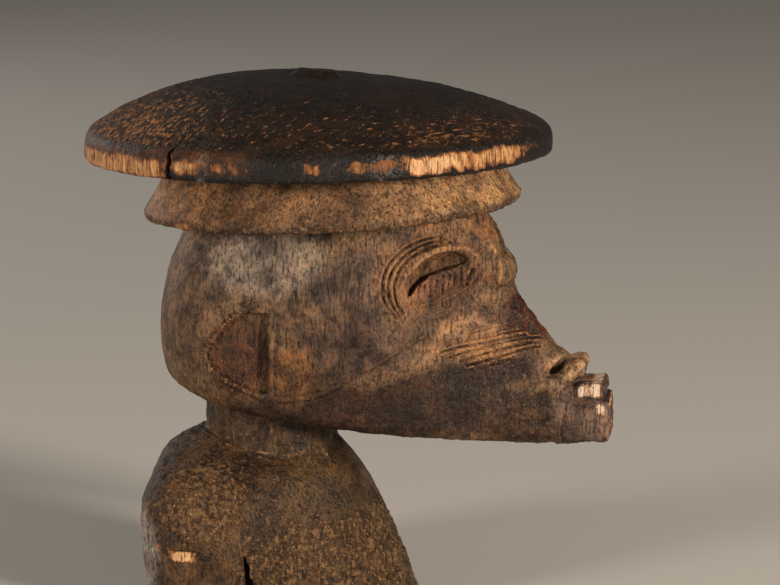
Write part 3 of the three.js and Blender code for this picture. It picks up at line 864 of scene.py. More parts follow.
@dataclass
class Shoulders:
    """The chest, the full yoke of the shoulders and the upper arms, parted from the chest by a cleft."""

    chest_front: Rows = (
        (0, 37.6), (8, 34.8), (16, 31.6), (24, 27.9), (31, 24.2), (37, 20.0), (42, 15.6), (47, 11),
    )
    chest_back: Rows = ((0, -25.6), (10, -27.2), (20, -28), (30, -25.6), (38, -20.4), (43, -14), (47, -10))
    chest_half: Rows = ((0, 26), (12, 27), (24, 25.6), (32, 21.4), (36, 18), (40, 13.4), (47, 9))
    yoke_x: float = -10.4
    yoke_z: float = 21.6
    yoke_radii: tuple[float, float, float] = (19.6, 33.6, 20.2)
    yoke_fullness: float = 2.9
    arm_x: float = -13.0
    arm_lean: float = -0.12
    arm_y: float = 23.4
    arm_radii: Point2 = (12.2, 10.9)
    arm_top: float = 34.0
    arm_round: float = 12.0
    blend: float = 9.0
    cleft_front: float = 2.6
    cleft_back: float = -2.6
    cleft_top: Point2 = (-2.2, 19.2)
    cleft_floor: float = 23.5
    chip_x: float = -16.5
    chip_z: float = 17.85
    chip_half: Point2 = (3.3, 1.3)
    chip_depth: float = 0.9

    def __post_init__(self) -> None:
        """Prepares the curves."""
        self.curves = [Profile(rows) for rows in (self.chest_front, self.chest_back, self.chest_half)]

    def distance(self, x: Array, y: Array, z: Array) -> Array:
        """Returns the distance to chest, yoke and arms together."""
        front, back, wide = (curve(z) for curve in self.curves)
        deep = (front - back) / 2
        chest = (np.hypot((x - (front + back) / 2) / deep, y / wide) - 1) * np.minimum(deep, wide)
        rx, ry, rz = self.yoke_radii
        n = self.yoke_fullness
        u, v, w = np.abs((x - self.yoke_x) / rx), y / ry, np.abs((z - self.yoke_z) / rz)
        yoke = (np.hypot((u**n + w**n) ** (1 / n), v) - 1) * rx
        middle_x = self.arm_x + self.arm_lean * z
        ax, ay = self.arm_radii
        column = (np.hypot((x - middle_x) / ax, (np.abs(y) - self.arm_y) / ay) - 1) * ay
        arm = soft_max(column, z - self.arm_top, self.arm_round)
        return soft_min(soft_min(chest, yoke, self.blend), arm, self.blend)

    def cleft(self, x: Array, y: Array, z: Array) -> Array:
        """Returns the distance to the cleft before each arm."""
        top_x, top_z = self.cleft_top
        ahead = (x - self.cleft_front) * top_z + (z + 1) * (self.cleft_front - top_x)
        behind = (self.cleft_back - x) * top_z - (z + 1) * (self.cleft_back - top_x)
        wedge = np.maximum(ahead, behind) / math.hypot(top_z, self.cleft_front - top_x)
        return soft_max(wedge, self.cleft_floor - np.abs(y), 1.2)

    def chip(self, x: Array, y: Array, z: Array) -> Array:
        """Returns the distance to the splinter knocked off the near arm, deepest along its upper edge."""
        half_x, half_z = self.chip_half
        ends = np.abs(x - self.chip_x - 0.5 * (z - self.chip_z)) - half_x
        outline = np.maximum(ends, np.abs(z - self.chip_z) - half_z)
        floor = self.chip_depth * (1 + (z - self.chip_z) / half_z * 0.5)
        return np.maximum(np.maximum(outline, y), -(self.distance(x, y, z) + floor))

    def strokes(self) -> list[Stroke]:
        """Returns the trunk, its clefts and the chip."""
        return [
            Stroke("trunk", Act.ADD, self.distance, 0.8, (-40, -40, -4), (44, 40, 52)),
            Stroke("clefts", Act.CUT, self.cleft, 0.6, (-8, -40, -4), (8, 40, 24)),
            Stroke("arm_chip", Act.CUT, self.chip, 0.25, (-24, -40, 14), (-10, -20, 22)),
        ]


@dataclass(frozen=True)
class Knock:
    """A dent or chip: a shallow egg taken out of the skin, with a sharp or a soft edge."""

    x: float
    y: float
    z: float
    radii: tuple[float, float, float]
    edge: float

    def stroke(self) -> Stroke:
        """Returns the knock as a cut."""
        def distance(x: Array, y: Array, z: Array) -> Array:
            """Returns the distance to the knock."""
            return egg_distance(x - self.x, y - self.y, z - self.z, self.radii)

        low = tuple(c - r - 2 for c, r in zip((self.x, self.y, self.z), self.radii))
        high = tuple(c + r + 2 for c, r in zip((self.x, self.y, self.z), self.radii))
        return Stroke("knock", Act.CUT, distance, self.edge, low, high)


KNOCKS: tuple[Knock, ...] = (
    Knock(58.0, -20.5, 60.5, (13.0, 3.4, 3.6), 3.0),
    Knock(58.0, 20.5, 60.5, (13.0, 3.4, 3.6), 3.0),
    Knock(15.0, -26.5, 33.0, (6.5, 4.0, 5.0), 4.0),
)


class Carving:
    """The whole figure as one field of distances, made of strokes in the order that they were carved."""

    margin = 2.5
    far = 9.0

    def __init__(self, strokes: Sequence[Stroke]) -> None:
        """Keeps the strokes.

        Args:
            strokes: The forms, first to last.
        """
        self.strokes = list(strokes)

    def __call__(self, x: Array, y: Array, z: Array) -> Array:
        """Measures to the figure's surface.

        Args:
            x: Places along the figure.
            y: Places across it.
            z: Heights.

        Returns:
            The distances, below zero in the wood.
        """
        result = np.full(x.shape, self.far)
        for stroke in self.strokes:
            low, high = stroke.low, stroke.high
            inside = (x > low[0] - self.margin) & (x < high[0] + self.margin)
            inside &= (y > low[1] - self.margin) & (y < high[1] + self.margin)
            inside &= (z > low[2] - self.margin) & (z < high[2] + self.margin)
            if stroke.act is Act.CUT:
                inside &= np.abs(result) < self.far
            if not inside.any():
                continue
            shape = stroke.distance(x[inside], y[inside], z[inside])
            if stroke.act is Act.ADD:
                result[inside] = soft_min(result[inside], shape, stroke.fillet)
            else:
                result[inside] = soft_max(result[inside], -shape, stroke.fillet)
        return np.maximum(result, -z)

    def slope(self, points: Array, step: float = 0.15) -> Array:
        """Returns the way out of the wood at each point, of unit length."""
        columns = []
        for axis in range(3):
            shift = np.zeros(3)
            shift[axis] = step
            ahead = self(*(points + shift).T)
            columns.append(ahead - self(*(points - shift).T))
        out = np.stack(columns, 1)
        return out / np.maximum(np.linalg.norm(out, axis=1, keepdims=True), 1e-9)


@dataclass
class Skinner:
    """Draws a mesh over a field, on a grid that is finer where the carving is finer."""

    x_stops: Rows = (
        (-49.0, 0.72), (-26.0, 0.45), (8.0, 0.62), (30.0, 0.27), (72.0, 0.36), (88.0, 0.0),
    )
    y_stops: Rows = ((-60.0, 0.5), (-29.0, 0.42), (29.0, 0.6), (60.0, 0.0))
    z_stops: Rows = ((-1.3, 0.6), (47.0, 0.4), (61.5, 0.27), (96.0, 0.5), (136.0, 0.0))
    block: int = 4
    steepness: float = 1.6

    def ticks(self, stops: Rows) -> Array:
        """Returns the grid's places along one axis, a whole number of blocks of cells."""
        places = [np.arange(a, b, step) for (a, step), (b, _) in zip(stops[:-1], stops[1:])]
        line = np.concatenate([*places, [stops[-1][0]]])
        extra = (-(len(line) - 1)) % self.block
        step = line[-1] - line[-2]
        return np.concatenate([line, line[-1] + step * np.arange(1, extra + 1)])

    def near_cells(self, carving: Carving, axes: list[Array]) -> Array:
        """Finds the cells that may hold the surface.

        Args:
            carving: The field.
            axes: The grid's places along each axis.

        Returns:
            The lowest corner of each such cell, as grid numbers.
        """
        coarse = [line[:: self.block] for line in axes]
        gx, gy, gz = np.meshgrid(*coarse, indexing="ij")
        values = np.abs(carving(gx.ravel(), gy.ravel(), gz.ravel())).reshape(gx.shape)
        corners = [values[i:, j:, k:][: gx.shape[0] - 1, : gx.shape[1] - 1, : gx.shape[2] - 1]
                   for i in (0, 1) for j in (0, 1) for k in (0, 1)]
        lengths = [np.diff(line) for line in coarse]
        half = 0.5 * np.sqrt(sum(np.square(d) for d in np.meshgrid(*lengths, indexing="ij")))
        blocks = np.argwhere(np.minimum.reduce(corners) < half * self.steepness) * self.block
        inner = np.stack(np.meshgrid(*[np.arange(self.block)] * 3, indexing="ij"), -1).reshape(-1, 3)
        return (blocks[:, None, :] + inner[None, :, :]).reshape(-1, 3)

    def skin(self, carving: Carving) -> tuple[Array, Array]:
        """Draws the surface net.

        Args:
            carving: The field.

        Returns:
            The points in millimetres and the four-sided faces.
        """
        axes = [self.ticks(stops) for stops in (self.x_stops, self.y_stops, self.z_stops)]
        cells = self.near_cells(carving, axes)
        shape = tuple(len(line) for line in axes)
        corner_steps = [np.array(s) for s in np.ndindex(2, 2, 2)]
        flat = [np.ravel_multi_index((cells + s).T, shape) for s in corner_steps]
        wanted = np.unique(np.concatenate(flat))
        field_values = np.full(shape[0] * shape[1] * shape[2], 1.0, np.float32)
        where = np.unravel_index(wanted, shape)
        field_values[wanted] = carving(*(line[w] for line, w in zip(axes, where)))
        corners = np.stack([field_values[f] for f in flat], 1)
        crossed = (corners.min(1) < 0) & (corners.max(1) >= 0)
        cells, corners = cells[crossed], corners[crossed]
        low = np.stack([line[cells[:, a]] for a, line in enumerate(axes)], 1)
        size = np.stack([np.diff(line)[cells[:, a]] for a, line in enumerate(axes)], 1)
        total, hits = np.zeros((len(cells), 3)), np.zeros(len(cells))
        for a in range(8):
            for b in range(a + 1, 8):
                step = corner_steps[b] - corner_steps[a]
                if np.abs(step).sum() != 1:
                    continue
                va, vb = corners[:, a], corners[:, b]
                cut = (va < 0) != (vb < 0)
                t = va[cut] / (va[cut] - vb[cut])
                total[cut] += corner_steps[a] + t[:, None] * step
                hits[cut] += 1
        points = low + size * total / hits[:, None]
        number = np.full(shape, -1, np.int32)
        number[tuple(cells.T)] = np.arange(len(cells), dtype=np.int32)
        return points, self.faces(cells, corners, number)

    def faces(self, cells: Array, corners: Array, number: Array) -> Array:
        """Joins the points of the four cells round each grid edge that the surface crosses.

        Args:
            cells: The crossed cells.
            corners: The field at their corners.
            number: Each cell's point.

        Returns:
            The faces, turned outwards.
        """
        found = []
        for axis, along in ((0, 4), (1, 2), (2, 1)):
            b, c = (np.eye(3, dtype=int)[(axis + k) % 3] for k in (1, 2))
            inside = corners[:, 0] < 0
            crossed = (inside != (corners[:, along] < 0)) & (cells > 0).all(1)
            base = cells[crossed]
            ring = [number[tuple((base - s).T)] for s in (0 * b, b, b + c, c)]
            quads = np.stack(ring, 1)
            outward = inside[crossed]
            found.append(np.where(outward[:, None], quads, quads[:, ::-1]))
        faces = np.concatenate(found)
        return faces[(faces >= 0).all(1)]


def settle(points: Array, carving: Carving, rounds: int = 2) -> Array:
    """Moves points onto the surface along its slope.

    Args:
        points: Places near the surface.
        carving: The field.
        rounds: How often they are moved.

    Returns:
        The settled points.
    """
    limit = 0.3
    for _ in range(rounds):
        away = np.clip(carving(*points.T), -limit, limit)
        points = points - carving.slope(points) * away[:, None] * 0.9
    points[:, 2] = np.maximum(points[:, 2], 0.0)
    return points


def mesh_from(points: Array, faces: Array, name: str) -> bpy.types.Mesh:
    """Makes a mesh from points in millimetres.

    Args:
        points: One row for each point.
        faces: One row of point numbers for each face.
        name: The mesh's name.

    Returns:
        The mesh, in metres.
    """
    mesh = bpy.data.meshes.new(name)
    sides = faces.shape[1]
    mesh.vertices.add(len(points))
    mesh.vertices.foreach_set("co", (points * MM).astype(np.float32).ravel())
    mesh.loops.add(faces.size)
    mesh.loops.foreach_set("vertex_index", faces.astype(np.int32).ravel())
    mesh.polygons.add(len(faces))
    mesh.polygons.foreach_set("loop_start", np.arange(0, faces.size, sides, dtype=np.int32))
    mesh.update(calc_edges=True)
    mesh.validate()
    mesh.shade_smooth()
    return mesh


def link_object(name: str, data: bpy.types.ID | None) -> bpy.types.Object:
    """Adds an object to the scene at the origin."""
    made = bpy.data.objects.new(name, data)
    bpy.context.scene.collection.objects.link(made)
    return made


def add_node(tree: bpy.types.NodeTree, kind: str, inputs: dict | None = None, **settings) -> bpy.types.Node:
    """Adds a node to a tree, with its settings and its links.

    Args:
        tree: The tree.
        kind: The node's type.
        inputs: What goes into its inputs, by name or number: values, sockets, or nodes that give their
            first output.
        **settings: The node's own settings.

    Returns:
        The node.
    """
    node = tree.nodes.new(kind)
    for name, value in settings.items():
        setattr(node, name, value)
    for key, value in (inputs or {}).items():
        socket = node.inputs[key]
        source = value.outputs[0] if isinstance(value, bpy.types.Node) else value
        if isinstance(source, bpy.types.NodeSocket):
            tree.links.new(source, socket)
        else:
            socket.default_value = source
    return node


def new_tree(
    name: str, inputs: Sequence[tuple[str, str]],
) -> tuple[bpy.types.NodeTree, bpy.types.NodeOutputs]:
    """Starts a Geometry Nodes tree that takes and gives geometry.

    Args:
        name: The tree's name.
        inputs: Name and socket type of each further input.

    Returns:
        The tree, and the sockets that give its inputs.
    """
    tree = bpy.data.node_groups.new(name, "GeometryNodeTree")
    tree.interface.new_socket("Geometry", in_out="INPUT", socket_type="NodeSocketGeometry")
    tree.interface.new_socket("Geometry", in_out="OUTPUT", socket_type="NodeSocketGeometry")
    for label, kind in inputs:
        tree.interface.new_socket(label, in_out="INPUT", socket_type=kind)
    return tree, add_node(tree, "NodeGroupInput").outputs


def use_tree(piece: bpy.types.Object, tree: bpy.types.NodeTree, values: dict[str, object]) -> None:
    """Puts a tree on a piece as a modifier and sets its inputs.

    Args:
        piece: The object.
        tree: The Geometry Nodes tree.
        values: The inputs' values by their names.
    """
    modifier = piece.modifiers.new(tree.name, "NODES")
    modifier.node_group = tree
    for item in tree.interface.items_tree:
        if item.in_out == "INPUT" and item.name in values:
            modifier[item.identifier] = values[item.name]


def plain_mesh(piece: bpy.types.Object) -> bpy.types.Mesh:
    """Returns a piece's evaluated shape as a new plain mesh."""
    graph = bpy.context.evaluated_depsgraph_get()
    graph.update()
    return bpy.data.meshes.new_from_object(piece.evaluated_get(graph), depsgraph=graph)


def apply_modifiers(piece: bpy.types.Object) -> None:
    """Gives a piece its evaluated shape as its own plain mesh and takes its modifiers off."""
    result = plain_mesh(piece)
    piece.modifiers.clear()
    piece.data = result


def plain_edges(piece: bpy.types.Object) -> bpy.types.Object:
    """Puts a new object with the evaluated shape as a plain mesh in a piece's place."""
    name, result = piece.name, plain_mesh(piece)
    bpy.data.objects.remove(piece)
    return link_object(name, result)


def read_points(mesh: bpy.types.Mesh) -> Array:
    """Returns a mesh's points as they are stored, in metres, one row each."""
    flat = np.zeros(len(mesh.vertices) * 3, np.float32)
    mesh.vertices.foreach_get("co", flat)
    return flat.reshape(-1, 3)


def lay_tree() -> bpy.types.NodeTree:
    """Builds the tree that drops side view curves onto the skin from both sides.

    Returns:
        The tree, which takes curves at the sides and gives edges that lie on the skin.
    """
    tree, given = new_tree("lay_on_skin", (("Skin", "NodeSocketObject"), ("Step", "NodeSocketFloat"),
                                            ("Wander", "NodeSocketFloat"), ("Seed", "NodeSocketFloat")))
    fine = add_node(tree, "GeometryNodeResampleCurve", {"Curve": given["Geometry"],
                    "Length": given["Step"]}, mode="LENGTH")
    edges = add_node(tree, "GeometryNodeCurveToMesh", {"Curve": fine})
    place = add_node(tree, "GeometryNodeInputPosition")
    drift = add_node(tree, "ShaderNodeTexNoise", {"Vector": place, "W": given["Seed"],
                     "Scale": 1 / (9 * MM), "Detail": 2.0}, noise_dimensions="4D")
    centred = add_node(tree, "ShaderNodeVectorMath", {0: drift.outputs["Color"], 1: (0.5, 0.5, 0.5)},
                       operation="SUBTRACT")
    swayed = add_node(tree, "ShaderNodeVectorMath", {0: centred, "Scale": given["Wander"]},
                      operation="SCALE")
    moved = add_node(tree, "ShaderNodeVectorMath", {0: place, 1: swayed}, operation="ADD")
    parts = add_node(tree, "ShaderNodeSeparateXYZ", {0: moved})
    side = add_node(tree, "ShaderNodeMath", {0: parts.outputs["Y"]}, operation="SIGN")
    outside = add_node(tree, "ShaderNodeMath", {0: side, 1: 80 * MM}, operation="MULTIPLY")
    inward = add_node(tree, "ShaderNodeMath", {0: side, 1: -1.0}, operation="MULTIPLY")
    start = add_node(tree, "ShaderNodeCombineXYZ", {"X": parts.outputs["X"], "Y": outside,
                     "Z": parts.outputs["Z"]})
    ray = add_node(tree, "ShaderNodeCombineXYZ", {"Y": inward})
    skin = add_node(tree, "GeometryNodeObjectInfo", {"Object": given["Skin"]})
    hit = add_node(tree, "GeometryNodeRaycast", {"Target Geometry": skin.outputs["Geometry"],
                   "Source Position": start, "Ray Direction": ray, "Ray Length": 90 * MM})
    laid = add_node(tree, "GeometryNodeSetPosition", {"Geometry": edges,
                    "Selection": hit.outputs["Is Hit"], "Position": hit.outputs["Hit Position"]})
    add_node(tree, "NodeGroupOutput", {"Geometry": laid})
    return tree


def lash_tree() -> bpy.types.NodeTree:
    """Builds the tree that sets a row of short upright nicks along a path laid on the lid.

    Returns:
        The tree, which takes the laid path and gives the nicks as edges on the skin.
    """
    tree, given = new_tree("lash_nicks", (
        ("Skin", "NodeSocketObject"), ("Count", "NodeSocketInt"), ("Length", "NodeSocketFloat"),
        ("Lean", "NodeSocketFloat"), ("Seed", "NodeSocketInt"),
    ))
    curve = add_node(tree, "GeometryNodeMeshToCurve", {"Mesh": given["Geometry"]})
    row = add_node(tree, "GeometryNodeResampleCurve", {"Curve": curve,
                   "Count": given["Count"]}, mode="COUNT")
    half = add_node(tree, "ShaderNodeMath", {0: given["Length"], 1: 0.5}, operation="MULTIPLY")
    below = add_node(tree, "ShaderNodeMath", {0: half, 1: -1.0}, operation="MULTIPLY")
    foot = add_node(tree, "ShaderNodeCombineXYZ", {"Z": below})
    tip = add_node(tree, "ShaderNodeCombineXYZ", {"X": given["Lean"], "Z": half})
    nick = add_node(tree, "GeometryNodeCurvePrimitiveLine", {"Start": foot, "End": tip})
    length = add_node(tree, "FunctionNodeRandomValue", {2: 0.5, 3: 1.2, "Seed": given["Seed"]},
                      data_type="FLOAT")
    nicks = add_node(tree, "GeometryNodeInstanceOnPoints", {"Points": row,
                     "Instance": nick, "Scale": length.outputs[1]})
    real = add_node(tree, "GeometryNodeRealizeInstances", {"Geometry": nicks})
    fine = add_node(tree, "GeometryNodeResampleCurve", {"Curve": real, "Count": 9}, mode="COUNT")
    edges = add_node(tree, "GeometryNodeCurveToMesh", {"Curve": fine})
    skin = add_node(tree, "GeometryNodeObjectInfo", {"Object": given["Skin"]})
    near = add_node(tree, "GeometryNodeProximity", {"Geometry": skin.outputs["Geometry"]},
                    target_element="FACES")
    laid = add_node(tree, "GeometryNodeSetPosition", {"Geometry": edges,
                    "Position": near.outputs["Position"]})
    add_node(tree, "NodeGroupOutput", {"Geometry": laid})
    return tree


def split_tree() -> bpy.types.NodeTree:
    """Builds the tree that sets drying splits round the hat's rim.

    Returns:
        The tree, which gives short upright edges at random places of the rim.
    """
    tree, given = new_tree("rim_splits", (
        ("Count", "NodeSocketInt"), ("Radius", "NodeSocketFloat"), ("Centre", "NodeSocketVector"),
        ("Length", "NodeSocketFloat"), ("Inward", "NodeSocketFloat"), ("Share", "NodeSocketFloat"),
        ("Seed", "NodeSocketInt"),
    ))
    circle = add_node(tree, "GeometryNodeMeshCircle", {"Vertices": given["Count"],
                      "Radius": given["Radius"]}, fill_type="NONE")
    chosen = add_node(tree, "FunctionNodeRandomValue", {"Probability": given["Share"],
                      "Seed": given["Seed"]}, data_type="BOOLEAN")
    half = add_node(tree, "ShaderNodeMath", {0: given["Length"], 1: -0.5}, operation="MULTIPLY")
    top = add_node(tree, "ShaderNodeMath", {0: half, 1: -1.0}, operation="MULTIPLY")
    foot = add_node(tree, "ShaderNodeCombineXYZ", {"X": given["Inward"], "Z": half})
    tip = add_node(tree, "ShaderNodeCombineXYZ", {"X": given["Inward"], "Z": top})
    split = add_node(tree, "GeometryNodeCurvePrimitiveLine", {"Start": foot, "End": tip})
    angle = add_node(tree, "GeometryNodeInputPosition")
    turn = add_node(tree, "FunctionNodeAlignRotationToVector", {"Vector": angle}, axis="X",
                    pivot_axis="Z")
    size = add_node(tree, "FunctionNodeRandomValue", {2: 0.35, 3: 1.0, "Seed": given["Seed"]},
                    data_type="FLOAT")
    splits = add_node(tree, "GeometryNodeInstanceOnPoints", {"Points": circle,
                      "Selection": chosen.outputs[3], "Instance": split,
                      "Rotation": turn, "Scale": size.outputs[1]})
    real = add_node(tree, "GeometryNodeRealizeInstances", {"Geometry": splits})
    edges = add_node(tree, "GeometryNodeCurveToMesh", {"Curve": real})
    placed = add_node(tree, "GeometryNodeTransform", {"Geometry": edges,
                      "Translation": given["Centre"]})
    add_node(tree, "NodeGroupOutput", {"Geometry": placed})
    return tree


def cut_tree() -> bpy.types.NodeTree:
    """Builds the tree that presses lines into a skin, or raises them.

    Returns:
        The tree. It moves the skin along its normals by a rounded groove with a burr on each side, and
        keeps in the attributes cut and raised where dirt gathers and where the wood is rubbed light, which
        also paints a highlight on ridges and burrs.
    """
    tree, given = new_tree("cut_lines", (
        ("Lines", "NodeSocketObject"), ("Width", "NodeSocketFloat"), ("Depth", "NodeSocketFloat"),
        ("Burr", "NodeSocketFloat"), ("Wear", "NodeSocketFloat"), ("Seed", "NodeSocketFloat"),
        ("Dirt", "NodeSocketFloat"), ("Rubbed", "NodeSocketFloat"),
    ))
    lines = add_node(tree, "GeometryNodeObjectInfo", {"Object": given["Lines"]})
    near = add_node(tree, "GeometryNodeProximity", {"Geometry": lines.outputs["Geometry"]},
                    target_element="EDGES")
    place = add_node(tree, "GeometryNodeInputPosition")
    bounds = add_node(tree, "GeometryNodeBoundBox", {"Geometry": lines.outputs["Geometry"]})
    short = add_node(tree, "ShaderNodeVectorMath", {0: bounds.outputs["Min"], 1: place},
                     operation="SUBTRACT")
    past = add_node(tree, "ShaderNodeVectorMath", {0: place, 1: bounds.outputs["Max"]},
                    operation="SUBTRACT")
    away = add_node(tree, "ShaderNodeVectorMath", {0: short, 1: past},
                    operation="MAXIMUM")
    apart = add_node(tree, "ShaderNodeSeparateXYZ", {0: away})
    most = add_node(tree, "ShaderNodeMath", {0: apart.outputs["X"], 1: apart.outputs["Y"]},
                    operation="MAXIMUM")
    most = add_node(tree, "ShaderNodeMath", {0: most, 1: apart.outputs["Z"]}, operation="MAXIMUM")
    close = add_node(tree, "ShaderNodeMath", {0: most, 1: 4 * MM}, operation="LESS_THAN")
    ragged = add_node(tree, "ShaderNodeTexNoise", {"Vector": place, "W": given["Seed"],
                      "Scale": 1 / (2.4 * MM), "Detail": 3.0}, noise_dimensions="4D")
    worn = add_node(tree, "ShaderNodeMapRange", {"Value": ragged.outputs["Fac"], 1: 0.35, 2: 0.62,
                    3: given["Wear"], 4: 1.0})
    share = add_node(tree, "ShaderNodeMath", {0: near.outputs["Distance"], 1: given["Width"]},
                     operation="DIVIDE")
    core = add_node(tree, "ShaderNodeMapRange", {"Value": share, 1: 0.0, 2: 1.0, 3: 1.0, 4: 0.0},
                    interpolation_type="SMOOTHSTEP")
    off_burr = add_node(tree, "ShaderNodeMath", {0: share, 1: -1.45}, operation="ADD")
    off_burr = add_node(tree, "ShaderNodeMath", {0: off_burr}, operation="ABSOLUTE")
    burr = add_node(tree, "ShaderNodeMapRange", {"Value": off_burr, 1: 0.0, 2: 0.7, 3: 1.0, 4: 0.0},
                    interpolation_type="SMOOTHSTEP")
    sunk = add_node(tree, "ShaderNodeMath", {0: core, 1: given["Depth"]},
                    operation="MULTIPLY")
    rise = add_node(tree, "ShaderNodeMath", {0: burr, 1: given["Burr"]},
                    operation="MULTIPLY")
    height = add_node(tree, "ShaderNodeMath", {0: rise, 1: sunk}, operation="SUBTRACT")
    uneven = add_node(tree, "ShaderNodeMath", {0: height, 1: worn},
                      operation="MULTIPLY")
    normal = add_node(tree, "GeometryNodeInputNormal")
    offset = add_node(tree, "ShaderNodeVectorMath", {0: normal, "Scale": uneven},
                      operation="SCALE")
    ridge = add_node(tree, "ShaderNodeMath", {0: given["Depth"], 1: 0.0}, operation="LESS_THAN")
    high = add_node(tree, "ShaderNodeMix", {"Factor": ridge, 2: burr,
                    3: core}, data_type="FLOAT")
    kept = given["Geometry"]
    for name, shape, share in (("cut", core, "Dirt"), ("raised", high, "Rubbed")):
        before = add_node(tree, "GeometryNodeInputNamedAttribute", {"Name": name}, data_type="FLOAT")
        mask = add_node(tree, "ShaderNodeMath", {0: shape, 1: worn}, operation="MULTIPLY")
        mask = add_node(tree, "ShaderNodeMath", {0: mask, 1: given[share]},
                        operation="MULTIPLY")
        both = add_node(tree, "ShaderNodeMath", {0: before, 1: mask},
                        operation="MAXIMUM")
        kept = add_node(tree, "GeometryNodeStoreNamedAttribute", {"Geometry": kept,
                        "Selection": close, "Name": name, "Value": both},
                        data_type="FLOAT", domain="POINT")
    pressed = add_node(tree, "GeometryNodeSetPosition", {"Geometry": kept,
                       "Selection": close, "Offset": offset})
    add_node(tree, "NodeGroupOutput", {"Geometry": pressed})
    return tree


class MarkKind(Enum):
    """How a family of marks looks: weathered wood, or the scoops of a small adze."""

    WEATHER = "weathering"
    SCOOP = "adze_scoops"


@dataclass(frozen=True)
class Mark:
    """One family of tool marks or wear: its size across the grain, stretch along it, depth, kind and mask."""

    size: float
    stretch: float
    depth: float
    kind: MarkKind
    mask: str
    seed: float


MARKS: tuple[Mark, ...] = (
    Mark(26.0, 1.0, 0.6, MarkKind.WEATHER, "", 3.0),
    Mark(6.5, 1.2, 0.26, MarkKind.SCOOP, "", 7.0),
    Mark(2.6, 1.6, 0.3, MarkKind.WEATHER, "", 11.0),
    Mark(1.7, 1.0, 1.0, MarkKind.WEATHER, "crust", 17.0),
    Mark(4.2, 1.0, 0.8, MarkKind.WEATHER, "crust", 19.0),
    Mark(1.9, 5.0, 0.3, MarkKind.WEATHER, "grainy", 23.0),
)


def marks_tree(kind: MarkKind) -> bpy.types.NodeTree:
    """Builds the tree that works one family of tool marks into a skin.

    Args:
        kind: How the marks look.

    Returns:
        The tree, with the marks' size, stretch along the grain, depth, mask and seed as inputs.
    """
    tree, given = new_tree(kind.value, (
        ("Size", "NodeSocketFloat"), ("Stretch", "NodeSocketFloat"), ("Depth", "NodeSocketFloat"),
        ("Mask", "NodeSocketString"), ("Masked", "NodeSocketFloat"), ("Seed", "NodeSocketFloat"),
    ))
    place = add_node(tree, "GeometryNodeInputPosition")
    along = add_node(tree, "ShaderNodeMath", {0: 1.0, 1: given["Stretch"]}, operation="DIVIDE")
    squeeze = add_node(tree, "ShaderNodeCombineXYZ", {"X": 1.0, "Y": 1.0, "Z": along})
    grain = add_node(tree, "ShaderNodeVectorMath", {0: place, 1: squeeze},
                     operation="MULTIPLY")
    scale = add_node(tree, "ShaderNodeMath", {0: 1.0, 1: given["Size"]}, operation="DIVIDE")
    grid = add_node(tree, "ShaderNodeVectorMath", {0: grain, "Scale": scale},
                    operation="SCALE")
    shift = add_node(tree, "ShaderNodeVectorMath", {0: (1.0, 1.7, 2.3), "Scale": given["Seed"]},
                     operation="SCALE")
    spot = add_node(tree, "ShaderNodeVectorMath", {0: grid, 1: shift}, operation="ADD")
    if kind is MarkKind.SCOOP:
        cells = add_node(tree, "ShaderNodeTexVoronoi", {"Vector": spot, "Scale": 1.0,
                         "Smoothness": 0.35}, feature="SMOOTH_F1")
        height = add_node(tree, "ShaderNodeMath", {0: cells.outputs["Distance"], 1: 0.45},
                          operation="SUBTRACT")
    else:
        noise = add_node(tree, "ShaderNodeTexNoise", {"Vector": spot, "Scale": 1.0, "Detail": 3.0,
                         "Roughness": 0.55})
        height = add_node(tree, "ShaderNodeMath", {0: noise.outputs["Fac"], 1: 2.0, 2: -1.0},
                          operation="MULTIPLY_ADD")
    mask = add_node(tree, "GeometryNodeInputNamedAttribute", {"Name": given["Mask"]},
                    data_type="FLOAT")
    weight = add_node(tree, "ShaderNodeMix", {"Factor": given["Masked"], 2: 1.0,
                      3: mask}, data_type="FLOAT")
    deep = add_node(tree, "ShaderNodeMath", {0: height, 1: given["Depth"]},
                    operation="MULTIPLY")
    shown = add_node(tree, "ShaderNodeMath", {0: deep, 1: weight}, operation="MULTIPLY")
    normal = add_node(tree, "GeometryNodeInputNormal")
    offset = add_node(tree, "ShaderNodeVectorMath", {0: normal, "Scale": shown},
                      operation="SCALE")
    parts = add_node(tree, "ShaderNodeSeparateXYZ", {0: place})
    free = add_node(tree, "ShaderNodeMapRange", {"Value": parts.outputs["Z"], 1: 0.0, 2: 1.5 * MM, 3: 0.0,
                    4: 1.0})
    held = add_node(tree, "ShaderNodeVectorMath", {0: offset, "Scale": free},
                    operation="SCALE")
    worked = add_node(tree, "GeometryNodeSetPosition", {"Geometry": given["Geometry"],
                      "Offset": held})
    add_node(tree, "NodeGroupOutput", {"Geometry": worked})
    return tree


def linear(code: str) -> tuple[float, float, float, float]:
    """Turns an sRGB hex value into linear colour with full alpha."""
    parts = [int(code[i : i + 2], 16) / 255 for i in (1, 3, 5)]
    return (*[c / 12.92 if c <= 0.04045 else ((c + 0.055) / 1.055) ** 2.4 for c in parts], 1.0)


